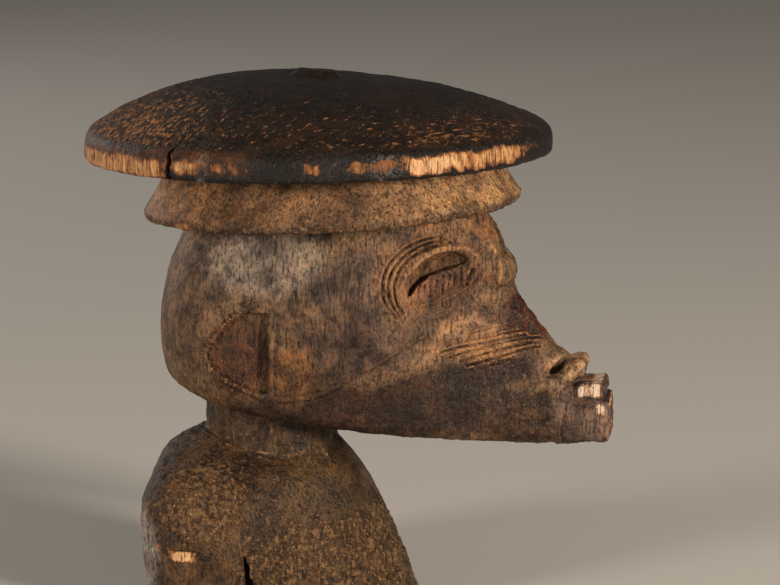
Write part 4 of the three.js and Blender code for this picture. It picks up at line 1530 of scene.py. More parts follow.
class Tone(Enum):
    """The wood's broad colours, each an old coat of oil, soot, dust and handling over brown heartwood; a few
    also hold painted light: the crown's back and front, the upper cranium and the near arm's edge are painted
    lighter, and the strip under the scars, the jaw and the rim's foot are painted darker as shade.
    """

    HAT_TOP = "#1a0d03"
    HAT_WORN = "#30200f"
    RIM_WORN = "#5c3b22"
    RIM_DARK = "#140d0a"
    CROWN = "#6a5038"
    # Painted light: lighter crown tones for its back and its front, where light falls on its sides.
    CROWN_BACK = "#815e3b"
    CROWN_FRONT = "#8f6f4e"
    CROWN_LIP = "#5c4632"
    CRANIUM = "#624c36"
    # Painted sheen: a cool grey tone for the polished upper cranium where it catches the light.
    CRANIUM_GREY = "#6e6155"
    TEMPLE = "#4a3b31"
    BEHIND_EAR = "#5f4a35"
    EAR_HOLLOW = "#4c301d"
    EAR_PATCH = "#624428"
    CHEEK = "#4e3b2e"
    # Painted shade: the jaw's tone is darkened where it turns down.
    JAW = "#311f13"
    LID = "#6a4934"
    BROW = "#694c35"
    SCARS = "#7f5e43"
    # Painted shade: a near black tone for the down-facing strip under the scarred cheek.
    UNDER_SCARS = "#29160c"
    BRIDGE = "#441f0a"
    WING = "#927559"
    LIP = "#5a4840"
    NECK = "#3f2d19"
    SHOULDER = "#47331f"
    CHEST = "#453420"
    # Painted highlight: a pale grey tone for the sheen on the near arm's back edge.
    ARM_GREY = "#958c83"
    FOREHEAD = "#67492e"


@dataclass(frozen=True)
class Daub:
    """A soft patch of a mask or tone: its middle and half sizes in side view, its strength, its side."""

    x: float
    z: float
    half_x: float
    half_z: float
    strength: float = 1.0
    side: float = 0.0
    square: bool = False

    def weight(self, points: Array) -> Array:
        """Returns how strongly each point takes the patch."""
        across, up = (points[:, 0] - self.x) / self.half_x, (points[:, 2] - self.z) / self.half_z
        reach = np.maximum(np.abs(across), np.abs(up)) if self.square else np.hypot(across, up)
        shown = self.strength * (1.0 - smooth_step(0.7, 1.25, reach))
        if self.side:
            shown = shown * smooth_step(-2.0, 2.0, points[:, 1] * self.side)
        return shown


TONE_DAUBS: tuple[tuple[Tone, Daub], ...] = (
    # Painted sheen on the upper cranium.
    (Tone.CRANIUM_GREY, Daub(2, 90, 16, 9)),
    (Tone.TEMPLE, Daub(26, 82, 12, 12)),
    (Tone.BEHIND_EAR, Daub(-20, 68, 9, 14)),
    (Tone.CHEEK, Daub(24, 68, 16, 9)),
    # The jaw and the foot of the muzzle are laid darker as painted shade.
    (Tone.JAW, Daub(30, 52, 40, 7)),
    (Tone.JAW, Daub(46, 56, 16, 7)),
    (Tone.JAW, Daub(66, 48, 14, 6)),
    (Tone.EAR_PATCH, Daub(9, 61, 6, 8)),
    (Tone.EAR_HOLLOW, Daub(-4, 66, 8, 10)),
    (Tone.BROW, Daub(43, 85, 15, 12)),
    (Tone.FOREHEAD, Daub(50, 97, 14, 5)),
    (Tone.LID, Daub(46, 82.5, 8, 4)),
    (Tone.SCARS, Daub(56, 69, 14, 6)),
    # Painted shade under the scarred cheek's lower edge.
    (Tone.UNDER_SCARS, Daub(58, 61, 11, 3.4)),
    (Tone.BRIDGE, Daub(66, 74, 7, 7)),
    (Tone.WING, Daub(74, 60, 7, 4.5)),
    (Tone.LIP, Daub(80, 50, 8, 9)),
)


BLEACHED_DAUBS: tuple[Daub, ...] = (
    Daub(80.9, 56.0, 3.2, 1.7, 0.7, square=True),
    Daub(82.4, 56.1, 1.1, 1.9, 0.5, square=True),
    Daub(78.4, 55.2, 0.8, 1.6, 0.4, square=True),
    Daub(83.5, 51.2, 1.8, 1.7, 0.6, square=True),
    Daub(83.4, 51.3, 0.8, 1.2, 0.4, square=True),
)

BARE_DAUBS: tuple[Daub, ...] = (
    *BLEACHED_DAUBS,
    Daub(77.7, 52.7, 0.8, 0.5, 0.8),
    Daub(76.6, 48.6, 0.5, 0.3, 0.9),
    Daub(81.6, 45.4, 0.5, 0.4, 0.9),
    Daub(85.5, 46.4, 0.5, 0.7, 0.9),
    Daub(85.7, 52.4, 0.5, 0.9, 0.9),
    Daub(71.2, 68.7, 0.6, 0.6, 1.2),
    Daub(58.0, 86.6, 0.5, 2.4, 0.6),
    Daub(-16.5, 17.7, 3.5, 1.4, 1.2, NEAR_SIDE, square=True),
    Daub(-22.5, 19.6, 2.0, 0.4, 0.9, NEAR_SIDE),
    Daub(-20.6, 34.4, 1.6, 1.5, 0.6, NEAR_SIDE),
    Daub(-1.6, 82.0, 0.8, 0.8, 0.9, NEAR_SIDE),
)

CRUST_DAUBS: tuple[Daub, ...] = (
    Daub(-13, 30, 11, 9, 0.45),
    Daub(16, 12, 20, 14, 0.35),
    Daub(20, 32, 8, 7, -0.7),
    Daub(-14, 10, 10, 5, -0.5),
)

GLOSS_DAUBS: tuple[Daub, ...] = (Daub(4, 90, 17, 10, 0.8), Daub(27, 80, 8, 8, 0.6))


class RimBand(Enum):
    """How high wear reaches on the hat's rim: where it begins, is full, starts to fade and ends. Below the
    band the rim keeps its near black colour, there also painted shade on the rim's lower part.
    """

    UPPER = (-2.0, -0.6, 1.2, 2.4)
    WHOLE = (-2.8, -1.8, 1.4, 2.6)
    FULL = (-3.6, -2.8, 0.9, 2.1)

    def weight(self, height: Array) -> Array:
        """Returns how strongly each height takes the wear."""
        begin, full, fade, end = self.value
        return smooth_step(begin, full, height) * (1 - smooth_step(fade, end, height))


@dataclass(frozen=True)
class RimWear:
    """A worn stretch of the rim: its band, the angles round the hat, its strength and how softly it ends."""

    band: RimBand
    start: float
    stop: float
    strength: float
    soft: float


RIM_WEAR: tuple[RimWear, ...] = (
    RimWear(RimBand.FULL, 196, 240, 0.72, 3),
    RimWear(RimBand.UPPER, 242, 251, 0.78, 2),
    RimWear(RimBand.UPPER, 252, 263, 0.66, 2),
    RimWear(RimBand.UPPER, 274.5, 279, 0.8, 1),
    RimWear(RimBand.UPPER, 281, 298, 0.5, 2),
    RimWear(RimBand.UPPER, 285.6, 289, 0.3, 1),
    RimWear(RimBand.WHOLE, 299, 316, 0.9, 2),
    RimWear(RimBand.WHOLE, 317, 334, 0.74, 3),
    RimWear(RimBand.UPPER, 334, 346, 0.5, 3),
    RimWear(RimBand.UPPER, 346, 556, 0.36, 6),
)

RAGGED_WEAR: Waves = ((0.22, 0.43, 0.0), (0.16, 1.07, 1.0), (0.12, 2.3, 2.0))


class Painter:
    """Works out the masks and the broad colour of every point of the finished skin."""

    def __init__(self, points: Array, figure: Figure) -> None:
        """Keeps what the masks are read from.

        Args:
            points: The skin's points in millimetres.
            figure: The figure, for its forms and its field.
        """
        self.points, self.carving = points, figure.carving
        self.head, self.hat = figure.head, figure.hat
        self.hat_r, self.hat_w = self.hat.place(*points.T)
        _, self.crown_w = figure.crown.place(*points.T)
        self.angle = np.degrees(np.arctan2(points[:, 1], points[:, 0] - self.hat.centre_x))

    @cached_property
    def normals(self) -> Array:
        """Returns the way out of the wood at each point."""
        return self.carving.slope(self.points)

    def shelter(self) -> Array:
        """Returns how hollow each place is, from how little room lies in front of it; the finish darkens
        hollows by it, as soot and painted shade.
        """
        total = np.zeros(len(self.points))
        for reach, share in ((0.8, 0.3), (2.0, 0.35), (5.0, 0.35)):
            room = self.carving(*(self.points + self.normals * reach).T) / reach
            total += share * np.clip(1.0 - room, 0.0, 1.0)
        return total

    def sharpness(self) -> Array:
        """Returns how sharply the wood turns away round each place, as on an edge or a rim."""
        reach = 1.2
        depth = -self.carving(*(self.points - self.normals * reach).T) / reach
        return np.clip((0.85 - depth) * 1.6, 0.0, 1.0)

    def on_hat(self) -> Array:
        """Returns 1 on the hat and 0 elsewhere."""
        foot = -self.hat.rim_below
        return smooth_step(foot - 0.6, foot + 0.1, self.hat_w) * (self.points[:, 2] > 108)

    def on_crown(self) -> Array:
        """Returns 1 on the crown band and 0 elsewhere."""
        return (1 - self.on_hat()) * smooth_step(-0.5, 0.3, self.crown_w)

    def on_body(self) -> Array:
        """Returns 1 on neck and shoulders and 0 elsewhere."""
        x, _, z = self.points.T
        return 1 - smooth_step(-1.6, -0.4, z - self.head.jaw_height(x))

    def on_rim(self) -> Array:
        """Returns 1 on the hat's blunt rim and 0 elsewhere."""
        return self.on_hat() * smooth_step(self.hat.radius - 2.6, self.hat.radius - 0.9, self.hat_r)

    def arc(self, start: float, stop: float, soft: float = 4.0) -> Array:
        """Returns 1 between two angles round the hat and 0 elsewhere, with soft ends."""
        middle, half = (start + stop) / 2, (stop - start) / 2
        away = np.abs((self.angle - middle + 180) % 360 - 180)
        return 1 - smooth_step(half - soft, half + soft, away)

    def daubed(self, daubs: Sequence[Daub]) -> Array:
        """Returns how strongly each point takes some patches together."""
        return sum(daub.weight(self.points) for daub in daubs)

    def tones(self) -> Array:
        """Returns the broad colour of each point."""
        colour = np.tile(np.array(linear(Tone.CRANIUM.value)), (len(self.points), 1))

        def lay(tone: Tone, weight: Array) -> None:
            """Lays a tone over the colour so far, by its weight at each point."""
            nonlocal colour
            colour = colour + (np.array(linear(tone.value)) - colour) * weight[:, None]

        for tone, daub in TONE_DAUBS:
            lay(tone, daub.weight(self.points))
        x, _, z = self.points.T
        body = self.on_body()
        lay(Tone.SHOULDER, body)
        lay(Tone.CHEST, body * smooth_step(0, 12, x) * (1 - smooth_step(34, 40, z)))
        lay(Tone.NECK, body * smooth_step(35, 40, z + 0.14 * x))
        # Painted highlight: pale grey sheen along the near arm's back edge.
        lay(Tone.ARM_GREY, body * Daub(-29, 17, 6, 11).weight(self.points))
        crown = self.on_crown()
        lay(Tone.CROWN, crown)
        # Painted light: the crown is laid lighter at its back and at its front.
        lay(Tone.CROWN_BACK, crown * (1 - smooth_step(-16, 6, x)))
        lay(Tone.CROWN_FRONT, crown * smooth_step(25, 55, x))
        lay(Tone.CROWN_LIP, crown * (1 - smooth_step(1.7, 2.5, self.crown_w)))
        hat = self.on_hat()
        lay(Tone.HAT_TOP, hat)
        lay(Tone.HAT_WORN, hat * smooth_step(34, 52, self.hat_r) * 0.6)
        rim = self.on_rim()
        # The rim is laid near black: its dark old coat, and painted shade on its lower part, which no wear
        # band reaches.
        lay(Tone.RIM_DARK, rim)
        lay(Tone.RIM_WORN, rim * self.arc(190, 262) * smooth_step(-1.8, -0.6, self.hat_w) * 0.6)
        return colour

    def on_head(self) -> Array:
        """Returns 1 on the head and 0 elsewhere."""
        return (1 - self.on_body()) * (1 - self.on_hat()) * (1 - self.on_crown())

    def crust(self) -> Array:
        """Returns where grains of old offerings and dust cling to the wood."""
        x, _, _ = self.points.T
        body, head, crown = self.on_body(), self.on_head(), self.on_crown()
        crust = body * (0.55 + self.daubed(CRUST_DAUBS)) + head * (0.12 + 0.4 * smooth_step(46, 58, x))
        crust += crown * (0.15 + 0.65 * (1 - smooth_step(1.8, 2.6, self.crown_w)))
        crust += self.on_hat() * (1 - self.on_rim()) * 0.2
        return np.clip(crust, 0, 1)

    def grainy(self) -> Array:
        """Returns where the open vertical grain of the log shows."""
        x, _, z = self.points.T
        jaw = self.on_head() * (1 - smooth_step(58, 66, z + 0.1 * x))
        arm = self.on_body() * (1 - smooth_step(8, 20, z))
        return np.clip(jaw + arm + self.on_rim() * self.arc(298, 334), 0, 1)

    def bare(self) -> Array:
        """Returns where knocks and rubbing have opened the bare wood, and on the hat's outer top some paler
        painted light.
        """
        rim, hat, crown = self.on_rim(), self.on_hat(), self.on_crown()
        height = self.hat_w + ripple(self.angle, RAGGED_WEAR)
        bare = self.daubed(BARE_DAUBS)
        for wear in RIM_WEAR:
            shown = wear.strength * self.arc(wear.start, wear.stop, wear.soft)
            bare += rim * wear.band.weight(height) * shown
        bare += crown * (1 - smooth_step(1.6, 2.6, self.crown_w)) * (0.45 + 0.5 * self.arc(226, 234, 3))
        # The hat's outer top is made paler at its left, as painted light, and at its front right.
        bare += hat * smooth_step(40, 54, self.hat_r) * 0.25 * (self.arc(190, 250) + self.arc(290, 340))
        return np.clip(bare, 0, 1.2)

    def bleached(self) -> Array:
        """Returns where the lips' bare wood has gone grey and pale."""
        return np.clip(self.daubed(BLEACHED_DAUBS), 0, 1)

    def gloss(self) -> Array:
        """Returns where hands and cloth have polished the wood; the finish also paints a cool grey sheen
        there.
        """
        head, rim, crown, body = self.on_head(), self.on_rim(), self.on_crown(), self.on_body()
        gloss = head * self.daubed(GLOSS_DAUBS)
        gloss += rim * (self.arc(248, 253, 2) + 0.1 * self.arc(262, 290, 3) + 0.9 * self.arc(290, 298, 2))
        gloss += crown * (1 - smooth_step(1.8, 2.6, self.crown_w)) * 0.8
        gloss += body * Daub(-28, 14, 5, 14, 1.0).weight(self.points)
        return np.clip(gloss, 0, 1)

    def flecked(self) -> Array:
        """Returns where the hat's dark crust has flaked off in short strokes, heaviest on the left, where the
        pale flakes layer also paints light.
        """
        top = self.on_hat() * (1 - self.on_rim())
        left = self.arc(156, 238, 14) * smooth_step(14, 50, self.hat_r)
        right = self.arc(300, 350, 14) * smooth_step(30, 54, self.hat_r)
        middle = self.arc(236, 300, 14) * smooth_step(14, 52, self.hat_r)
        return np.clip(top * (0.28 + 0.66 * left + 0.42 * right + 0.26 * middle), 0, 1)

    def masks(self) -> dict[str, Array]:
        """Returns every mask by the name that the finish reads it by."""
        return {
            "shelter": self.shelter(),
            "sharp": self.sharpness(),
            "bare": self.bare(),
            "bleached": self.bleached(),
            "crust": self.crust(),
            "gloss": self.gloss(),
            "flecked": self.flecked(),
        }


def store(mesh: bpy.types.Mesh, name: str, values: Array) -> None:
    """Keeps values on a mesh's points.

    Args:
        mesh: The mesh.
        name: The attribute's name.
        values: One number, or one colour of four numbers, for each point.
    """
    old = mesh.attributes.get(name)
    if old is not None:
        mesh.attributes.remove(old)
    colour = values.ndim == 2
    made = mesh.attributes.new(name, "FLOAT_COLOR" if colour else "FLOAT", "POINT")
    made.data.foreach_set("color" if colour else "value", values.astype(np.float32).ravel())


class PatternKind(Enum):
    """What a pattern is made of: clouds that break up smoothly, or separate grains."""

    CLOUDS = "clouds"
    GRAINS = "grains"


@dataclass(frozen=True)
class Pattern:
    """A procedural pattern: its size in millimetres, how far it is drawn out on each axis, and its turn."""

    size: float
    drawn: tuple[float, float, float] = (1.0, 1.0, 1.0)
    turn: float = 0.0
    detail: float = 4.0
    roughness: float = 0.6
    kind: PatternKind = PatternKind.CLOUDS


PATTERNS: dict[str, Pattern] = {
    "cloud": Pattern(9.0, detail=4.0, roughness=0.6),
    "hue": Pattern(3.6, (1.0, 1.0, 1.2), detail=4.0, roughness=0.6),
    "blotch": Pattern(2.4, (1.0, 1.0, 1.2), detail=4.0, roughness=0.62),
    "grain": Pattern(0.62, (1.0, 1.0, 1.9), detail=3.0, roughness=0.55),
    "streak": Pattern(0.55, (1.0, 1.0, 10.0), detail=3.0),
    "granule": Pattern(1.3, detail=4.0, roughness=0.62),
    "fleck": Pattern(1.0, (2.2, 1.0, 1.0), 58.0, detail=3.0, roughness=0.62),
    "grains": Pattern(0.95, kind=PatternKind.GRAINS),
    "specks": Pattern(2.6, kind=PatternKind.GRAINS),
}


class Blend(Enum):
    """How a layer meets the colour under it: it covers it, or lightens and darkens it."""

    COAT = "MIX"
    TINT = "MULTIPLY"


@dataclass(frozen=True)
class Layer:
    """A layer over the wood: where it lies, how it breaks up, its colour, its sheen and its thickness.

    A place takes the layer where pattern + reach * mask has gone from low to high. A coat's colour is a hex
    value, and a tint's colour says how much of the red, green and blue under it is left.
    """

    name: str
    blend: Blend
    colour: str | tuple[float, float, float]
    pattern: str
    low: float
    high: float
    opacity: float
    mask: str = ""
    reach: float = 0.0
    roughness: float = -1.0
    thickness: float = 0.0


LAYERS: tuple[Layer, ...] = (
    Layer("cloudy soot", Blend.TINT, (0.36, 0.33, 0.31), "cloud", 0.46, 0.62, 0.8),
    Layer("pale dust", Blend.TINT, (1.7, 1.65, 1.5), "cloud", 0.50, 0.36, 0.7),
    Layer("warm heartwood", Blend.TINT, (1.45, 1.12, 0.85), "blotch", 0.50, 0.66, 0.6),
    Layer("mauve bloom", Blend.TINT, (0.95, 0.85, 1.05), "hue", 0.54, 0.68, 0.6),
    Layer("olive dust", Blend.TINT, (1.12, 1.17, 0.95), "hue", 0.47, 0.34, 0.6),
    Layer("dark blotches", Blend.TINT, (0.32, 0.28, 0.26), "blotch", 0.48, 0.34, 0.85),
    # Painted sheen: a cool grey coat where the wood is polished, standing in for its reflection.
    Layer("grey bloom", Blend.COAT, "#8d8885", "granule", 0.84, 1.06, 0.4, "gloss", 0.42, 0.3),
    Layer("pale grain", Blend.TINT, (1.9, 1.8, 1.6), "grain", 0.44, 0.32, 0.7, thickness=0.3),
    Layer("dark grain", Blend.TINT, (0.3, 0.26, 0.24), "grain", 0.54, 0.68, 0.75, thickness=-0.35),
    Layer("dark pits", Blend.TINT, (0.2, 0.17, 0.15), "granule", 0.56, 0.70, 0.8, thickness=-0.5),
    Layer("dark under the crust", Blend.TINT, (0.45, 0.4, 0.36), "hue", 0.62, 0.80, 0.7, "crust", 0.26),
    Layer("ochre crust", Blend.COAT, "#7c5d3d", "granule", 0.74, 0.98, 0.7, "crust", 0.38, 0.9, 0.8),
    Layer("crust grains", Blend.COAT, "#a17e58", "grains", 0.86, 1.06, 0.7, "crust", 0.36, 0.9, 0.6),
    Layer("flaked hat", Blend.COAT, "#8c5c34", "fleck", 0.76, 0.87, 0.9, "flecked", 0.34, 0.8, -0.5),
    # Paler flake cores, strongest on the hat's left: flaking, and painted light on the lit left of the hat.
    Layer("pale flakes", Blend.COAT, "#b58352", "fleck", 0.86, 0.95, 0.8, "flecked", 0.34, 0.7),
    Layer("soot over the flakes", Blend.TINT, (0.2, 0.18, 0.17), "hue", 0.80, 0.92, 0.8, "flecked", 0.3),
    # Darkens hollows by the shelter mask: soot, and painted shade where little room lies in front.
    Layer("soot in the hollows", Blend.COAT, "#120b07", "blotch", 0.78, 1.20, 0.65, "shelter", 0.7, 0.9),
    Layer("dirt in the cuts", Blend.COAT, "#0f0906", "blotch", 0.66, 1.05, 0.95, "cut", 0.8, 0.9),
    # Lightens raised lines and burrs: wear, and a painted highlight along the ridges.
    Layer("rubbed ridges", Blend.COAT, "#a87c50", "granule", 0.60, 0.96, 0.75, "raised", 0.5, 0.42),
    Layer("rubbed edges", Blend.TINT, (1.9, 1.8, 1.65), "granule", 1.00, 1.30, 0.8, "sharp", 0.7, 0.42),
    Layer("bare wood", Blend.COAT, "#7d4f2b", "blotch", 0.88, 1.08, 0.95, "bare", 0.75, 0.6, -0.3),
    Layer("tawny bare wood", Blend.COAT, "#ae7b4a", "blotch", 1.08, 1.28, 0.9, "bare", 0.75, 0.55),
    Layer("pale bare wood", Blend.COAT, "#cba376", "streak", 1.20, 1.42, 0.8, "bare", 0.75, 0.45),
    Layer("bleached wood", Blend.COAT, "#d0b9a4", "streak", 0.92, 1.24, 0.85, "bleached", 0.75, 0.5),
    Layer("splits along the grain", Blend.TINT, (0.18, 0.14, 0.12), "streak", 0.47, 0.37, 0.8),
    # Painted glints: tiny pale specks scattered over the skin.
    Layer("white specks", Blend.COAT, "#d8ccb8", "specks", 0.968, 0.988, 0.9),
)


@dataclass(frozen=True)
class PatinatedWood:
    """Old hardwood, hand carved and oiled, darkened by soot and handling: half matt, with crusts and rubs.

    To the eye that is a dark, gritty brown with fine vertical grain, ochre grains in its hollows,
    cool soft gloss where hands polished it, partly a painted grey sheen, small painted white glints
    and warm bare wood on its knocked edges.
    """

    ior: float = 1.48
    specular: float = 0.26
    roughness: float = 0.46
    gloss_roughness: float = 0.28
    relief: float = 0.55
    grain_spread: float = 0.35

    def pattern(self, tree: bpy.types.NodeTree, place: bpy.types.NodeSocket, number: int,
                pattern: Pattern) -> bpy.types.Node:
        """Adds one pattern.

        Args:
            tree: The material's tree.
            place: The piece's own coordinates.
            number: The pattern's number, which moves it away from the others.
            pattern: The pattern's sizes.

        Returns:
            The node whose first output gives it, about 0 to 1.
        """
        spread = add_node(tree, "ShaderNodeMapping", {
            "Vector": place, "Location": tuple(0.011 * number * k for k in (1.0, 1.7, 2.3)),
            "Rotation": (0.0, 0.0, math.radians(pattern.turn)),
            "Scale": tuple(pattern.size * MM * d for d in pattern.drawn),
        }, vector_type="TEXTURE")
        if pattern.kind is PatternKind.CLOUDS:
            return add_node(tree, "ShaderNodeTexNoise", {"Vector": spread, "Scale": 1.0,
                            "Detail": pattern.detail, "Roughness": pattern.roughness})
        cells = add_node(tree, "ShaderNodeTexVoronoi", {"Vector": spread, "Scale": 1.0})
        middle = add_node(tree, "ShaderNodeMath", {0: 1.0, 1: cells.outputs["Distance"]},
                          operation="SUBTRACT")
        return add_node(tree, "ShaderNodeMath", {0: cells.outputs["Color"], 1: -self.grain_spread,
                        2: middle}, operation="MULTIPLY_ADD")

    def build(self) -> bpy.types.Material:
        """Builds the finish.

        Returns:
            The material.
        """
        material = bpy.data.materials.new("oiled_and_sooted_hardwood")
        material.use_nodes = True
        tree = material.node_tree
        tree.nodes.clear()
        place = add_node(tree, "ShaderNodeTexCoord").outputs["Object"]
        patterns = {name: self.pattern(tree, place, i, p) for i, (name, p) in enumerate(PATTERNS.items())}
        colour = add_node(tree, "ShaderNodeAttribute", attribute_name="tone").outputs["Color"]
        gloss = add_node(tree, "ShaderNodeAttribute", attribute_name="gloss").outputs["Fac"]
        rough = add_node(tree, "ShaderNodeMapRange", {"Value": gloss, 3: self.roughness,
                         4: self.gloss_roughness})
        height = patterns["granule"]
        for layer in LAYERS:
            value = patterns[layer.pattern]
            if layer.mask:
                mask = add_node(tree, "ShaderNodeAttribute", attribute_name=layer.mask).outputs["Fac"]
                value = add_node(tree, "ShaderNodeMath", {0: mask, 1: layer.reach, 2: value},
                                 operation="MULTIPLY_ADD")
            share = add_node(tree, "ShaderNodeMapRange", {"Value": value, 1: layer.low, 2: layer.high, 3: 0.0,
                             4: layer.opacity}, interpolation_type="SMOOTHSTEP")
            shade = linear(layer.colour) if layer.blend is Blend.COAT else (*layer.colour, 1.0)
            colour = add_node(tree, "ShaderNodeMix", {0: share, 6: colour, 7: shade}, data_type="RGBA",
                              blend_type=layer.blend.value).outputs[2]
            if layer.roughness >= 0:
                rough = add_node(tree, "ShaderNodeMix", {0: share, 2: rough, 3: layer.roughness},
                                 data_type="FLOAT")
            if layer.thickness:
                height = add_node(tree, "ShaderNodeMath", {0: share, 1: layer.thickness, 2: height},
                                  operation="MULTIPLY_ADD")
        bump = add_node(tree, "ShaderNodeBump", {"Strength": 1.0, "Distance": self.relief * MM,
                        "Height": height})
        shader = add_node(tree, "ShaderNodeBsdfPrincipled", {"Base Color": colour, "Roughness": rough,
                          "IOR": self.ior, "Specular IOR Level": self.specular, "Normal": bump})
        add_node(tree, "ShaderNodeOutputMaterial", {"Surface": shader})
        return material


@dataclass
class Figure:
    """The carved figure: its forms, its lines and the piece they become."""

    radius: float

    def __post_init__(self) -> None:
        """Sets out the forms, first to last."""
        self.head, self.hat, self.crown = Head(), Hat(self.radius), CrownBand()
        self.eye, self.ear, self.cheek = Eye(self.head), Ear(self.head), Cheek(self.head)
        self.nose, self.neck = Nose(), Neck()
        parts = (self.head, self.eye, self.nose, Mouth(), self.ear, self.cheek, self.crown, self.hat,
                 self.neck, Shoulders())
        strokes = [stroke for part in parts for stroke in part.strokes()]
        self.carving = Carving([*strokes, *(knock.stroke() for knock in KNOCKS)])

    def line_objects(self, skin: bpy.types.Object) -> dict[LineKind, bpy.types.Object]:
        """Lays every family of lines on the skin.

        Args:
            skin: The shaped skin.

        Returns:
            Each family's edges.
        """
        families: dict[LineKind, list[Sequence[Point2]]] = {}
        for part in (self.eye, self.ear, self.cheek, self.nose, self.neck):
            for kind, paths in part.lines().items():
                families.setdefault(kind, []).extend(paths)
        lay = lay_tree()
        made = {}
        for number, (kind, paths) in enumerate(families.items()):
            piece = self.side_curves(kind.value, paths)
            use_tree(piece, lay, {"Skin": skin, "Step": 0.7 * MM, "Wander": 0.5 * MM, "Seed": 3.0 + number})
            made[kind] = plain_edges(piece)
        eye, hat = self.eye, self.hat
        lashes = self.side_curves(LineKind.LASH.value, [eye.lash_line])
        use_tree(lashes, lay, {"Skin": skin, "Step": 0.7 * MM, "Wander": 0.0, "Seed": 1.0})
        use_tree(lashes, lash_tree(), {"Skin": skin, "Count": eye.lash_count, "Length": eye.lash_length * MM,
                                       "Lean": 0.2 * MM, "Seed": 4})
        made[LineKind.LASH] = plain_edges(lashes)
        splits = link_object(LineKind.SPLIT.value, bpy.data.meshes.new("rim"))
        use_tree(splits, split_tree(), {
            "Count": hat.split_count, "Share": hat.split_share, "Length": hat.split_length * MM,
            "Centre": (hat.centre_x * MM, 0.0, (hat.rim_z + 0.3) * MM), "Radius": (hat.radius - 0.4) * MM,
            "Inward": 0.0, "Seed": 8,
        })
        made[LineKind.SPLIT] = plain_edges(splits)
        return made

    def side_curves(self, name: str, paths: Sequence[Sequence[Point2]]) -> bpy.types.Object:
        """Makes curves from side view paths, at both sides of the figure.

        Args:
            name: The object's name.
            paths: The paths in side view.

        Returns:
            The curve object.
        """
        curve = bpy.data.curves.new(name, "CURVE")
        curve.dimensions = "3D"
        for path in paths:
            for side in (-1.0, 1.0):
                points = smooth_path(path, 6)
                spline = curve.splines.new("POLY")
                spline.points.add(len(points) - 1)
                flat = [c for px, pz in points for c in (px * MM, side * 40 * MM, pz * MM, 1.0)]
                spline.points.foreach_set("co", flat)
        return link_object(name, curve)

    def build(self, material: bpy.types.Material) -> bpy.types.Object:
        """Makes the finished piece.

        Args:
            material: The wood's finish.

        Returns:
            The piece, one plain mesh with its masks.
        """
        points, faces = Skinner().skin(self.carving)
        points = settle(points, self.carving)
        mesh = mesh_from(points, faces, "patinated_figure")
        piece = link_object("patinated_figure", mesh)
        LOG.info("skin: %d points, %d faces", len(points), len(faces))
        painter = Painter(points, self)
        store(mesh, "crust", painter.crust())
        store(mesh, "grainy", painter.grainy())
        lines = self.line_objects(piece)
        self.press(piece, lines)
        trees = {kind: marks_tree(kind) for kind in MarkKind}
        for mark in MARKS:
            use_tree(piece, trees[mark.kind], {"Size": mark.size * MM, "Stretch": mark.stretch,
                     "Depth": mark.depth * MM, "Mask": mark.mask, "Masked": float(bool(mark.mask)),
                     "Seed": mark.seed})
        apply_modifiers(piece)
        self.thin(piece)
        for edges in lines.values():
            bpy.data.objects.remove(edges)
        self.paint(piece)
        piece.data.materials.clear()
        piece.data.materials.append(material)
        piece.data.shade_smooth()
        return piece

    def press(self, piece: bpy.types.Object, lines: dict[LineKind, bpy.types.Object]) -> None:
        """Puts the line cuts on a piece as modifiers.

        Args:
            piece: The piece.
            lines: Each family's edges.
        """
        cut = cut_tree()
        for number, (kind, edges) in enumerate(lines.items()):
            how = LINE_CUTS[kind]
            use_tree(piece, cut, {
                "Lines": edges, "Width": how.width * MM, "Depth": how.depth * MM, "Burr": how.burr * MM,
                "Wear": 0.6, "Seed": 5.0 + number, "Dirt": how.dirt, "Rubbed": how.rubbed,
            })

    def thin(self, piece: bpy.types.Object) -> None:
        """Brings a piece under the face limit, keeping most faces where the face is carved."""
        mesh = piece.data
        x, _, z = (read_points(mesh) / MM).T
        eye = smooth_step(28, 34, x) * smooth_step(58, 64, z) * (1 - smooth_step(93, 98, z))
        nose = 0.8 * smooth_step(62, 70, x) * smooth_step(42, 46, z) * (1 - smooth_step(88, 92, z))
        ear = (1 - smooth_step(14, 17, np.abs(x + 1))) * (1 - smooth_step(13, 16, np.abs(z - 66)))
        keep = np.clip(np.maximum.reduce([eye, nose, 0.8 * ear]), 0, 0.9)
        group = piece.vertex_groups.new(name="keep")
        for step in range(10):
            chosen = np.flatnonzero(np.round(keep * 10) == step).tolist()
            group.add(chosen, step / 10, "REPLACE")
        triangles = len(mesh.loops) - 2 * len(mesh.polygons)
        thinner = piece.modifiers.new("thin", "DECIMATE")
        thinner.ratio = FACE_LIMIT / triangles
        thinner.vertex_group = "keep"
        thinner.invert_vertex_group = True
        thinner.vertex_group_factor = 2e-5
        thinner.use_collapse_triangulate = True
        apply_modifiers(piece)
        piece.vertex_groups.clear()
        LOG.info("thinned: %d triangles from %d", len(piece.data.polygons), triangles)

    def paint(self, piece: bpy.types.Object) -> None:
        """Stores the masks and the broad colour on a piece."""
        mesh = piece.data
        painter = Painter(read_points(mesh).astype(float) / MM, self)
        for name, values in painter.masks().items():
            store(mesh, name, values)
        store(mesh, "tone", painter.tones())


@dataclass(frozen=True)
class Lamp:
    """A soft studio panel: where it hangs, what it points at, its size, its strength and its colour."""

    name: str
    place: tuple[float, float, float]
    size: float
    watts: float
    colour: str


LAMPS: tuple[Lamp, ...] = (
    Lamp("key_panel", (1.2, -0.85, 0.4), 0.3, 32.0, "#fff0df"),
    Lamp("left_panel", (-1.1, -0.95, 0.35), 0.45, 16.0, "#fff1e4"),
    Lamp("back_panel", (-1.1, 0.9, 0.45), 0.6, 3.0, "#ffffff"),
)


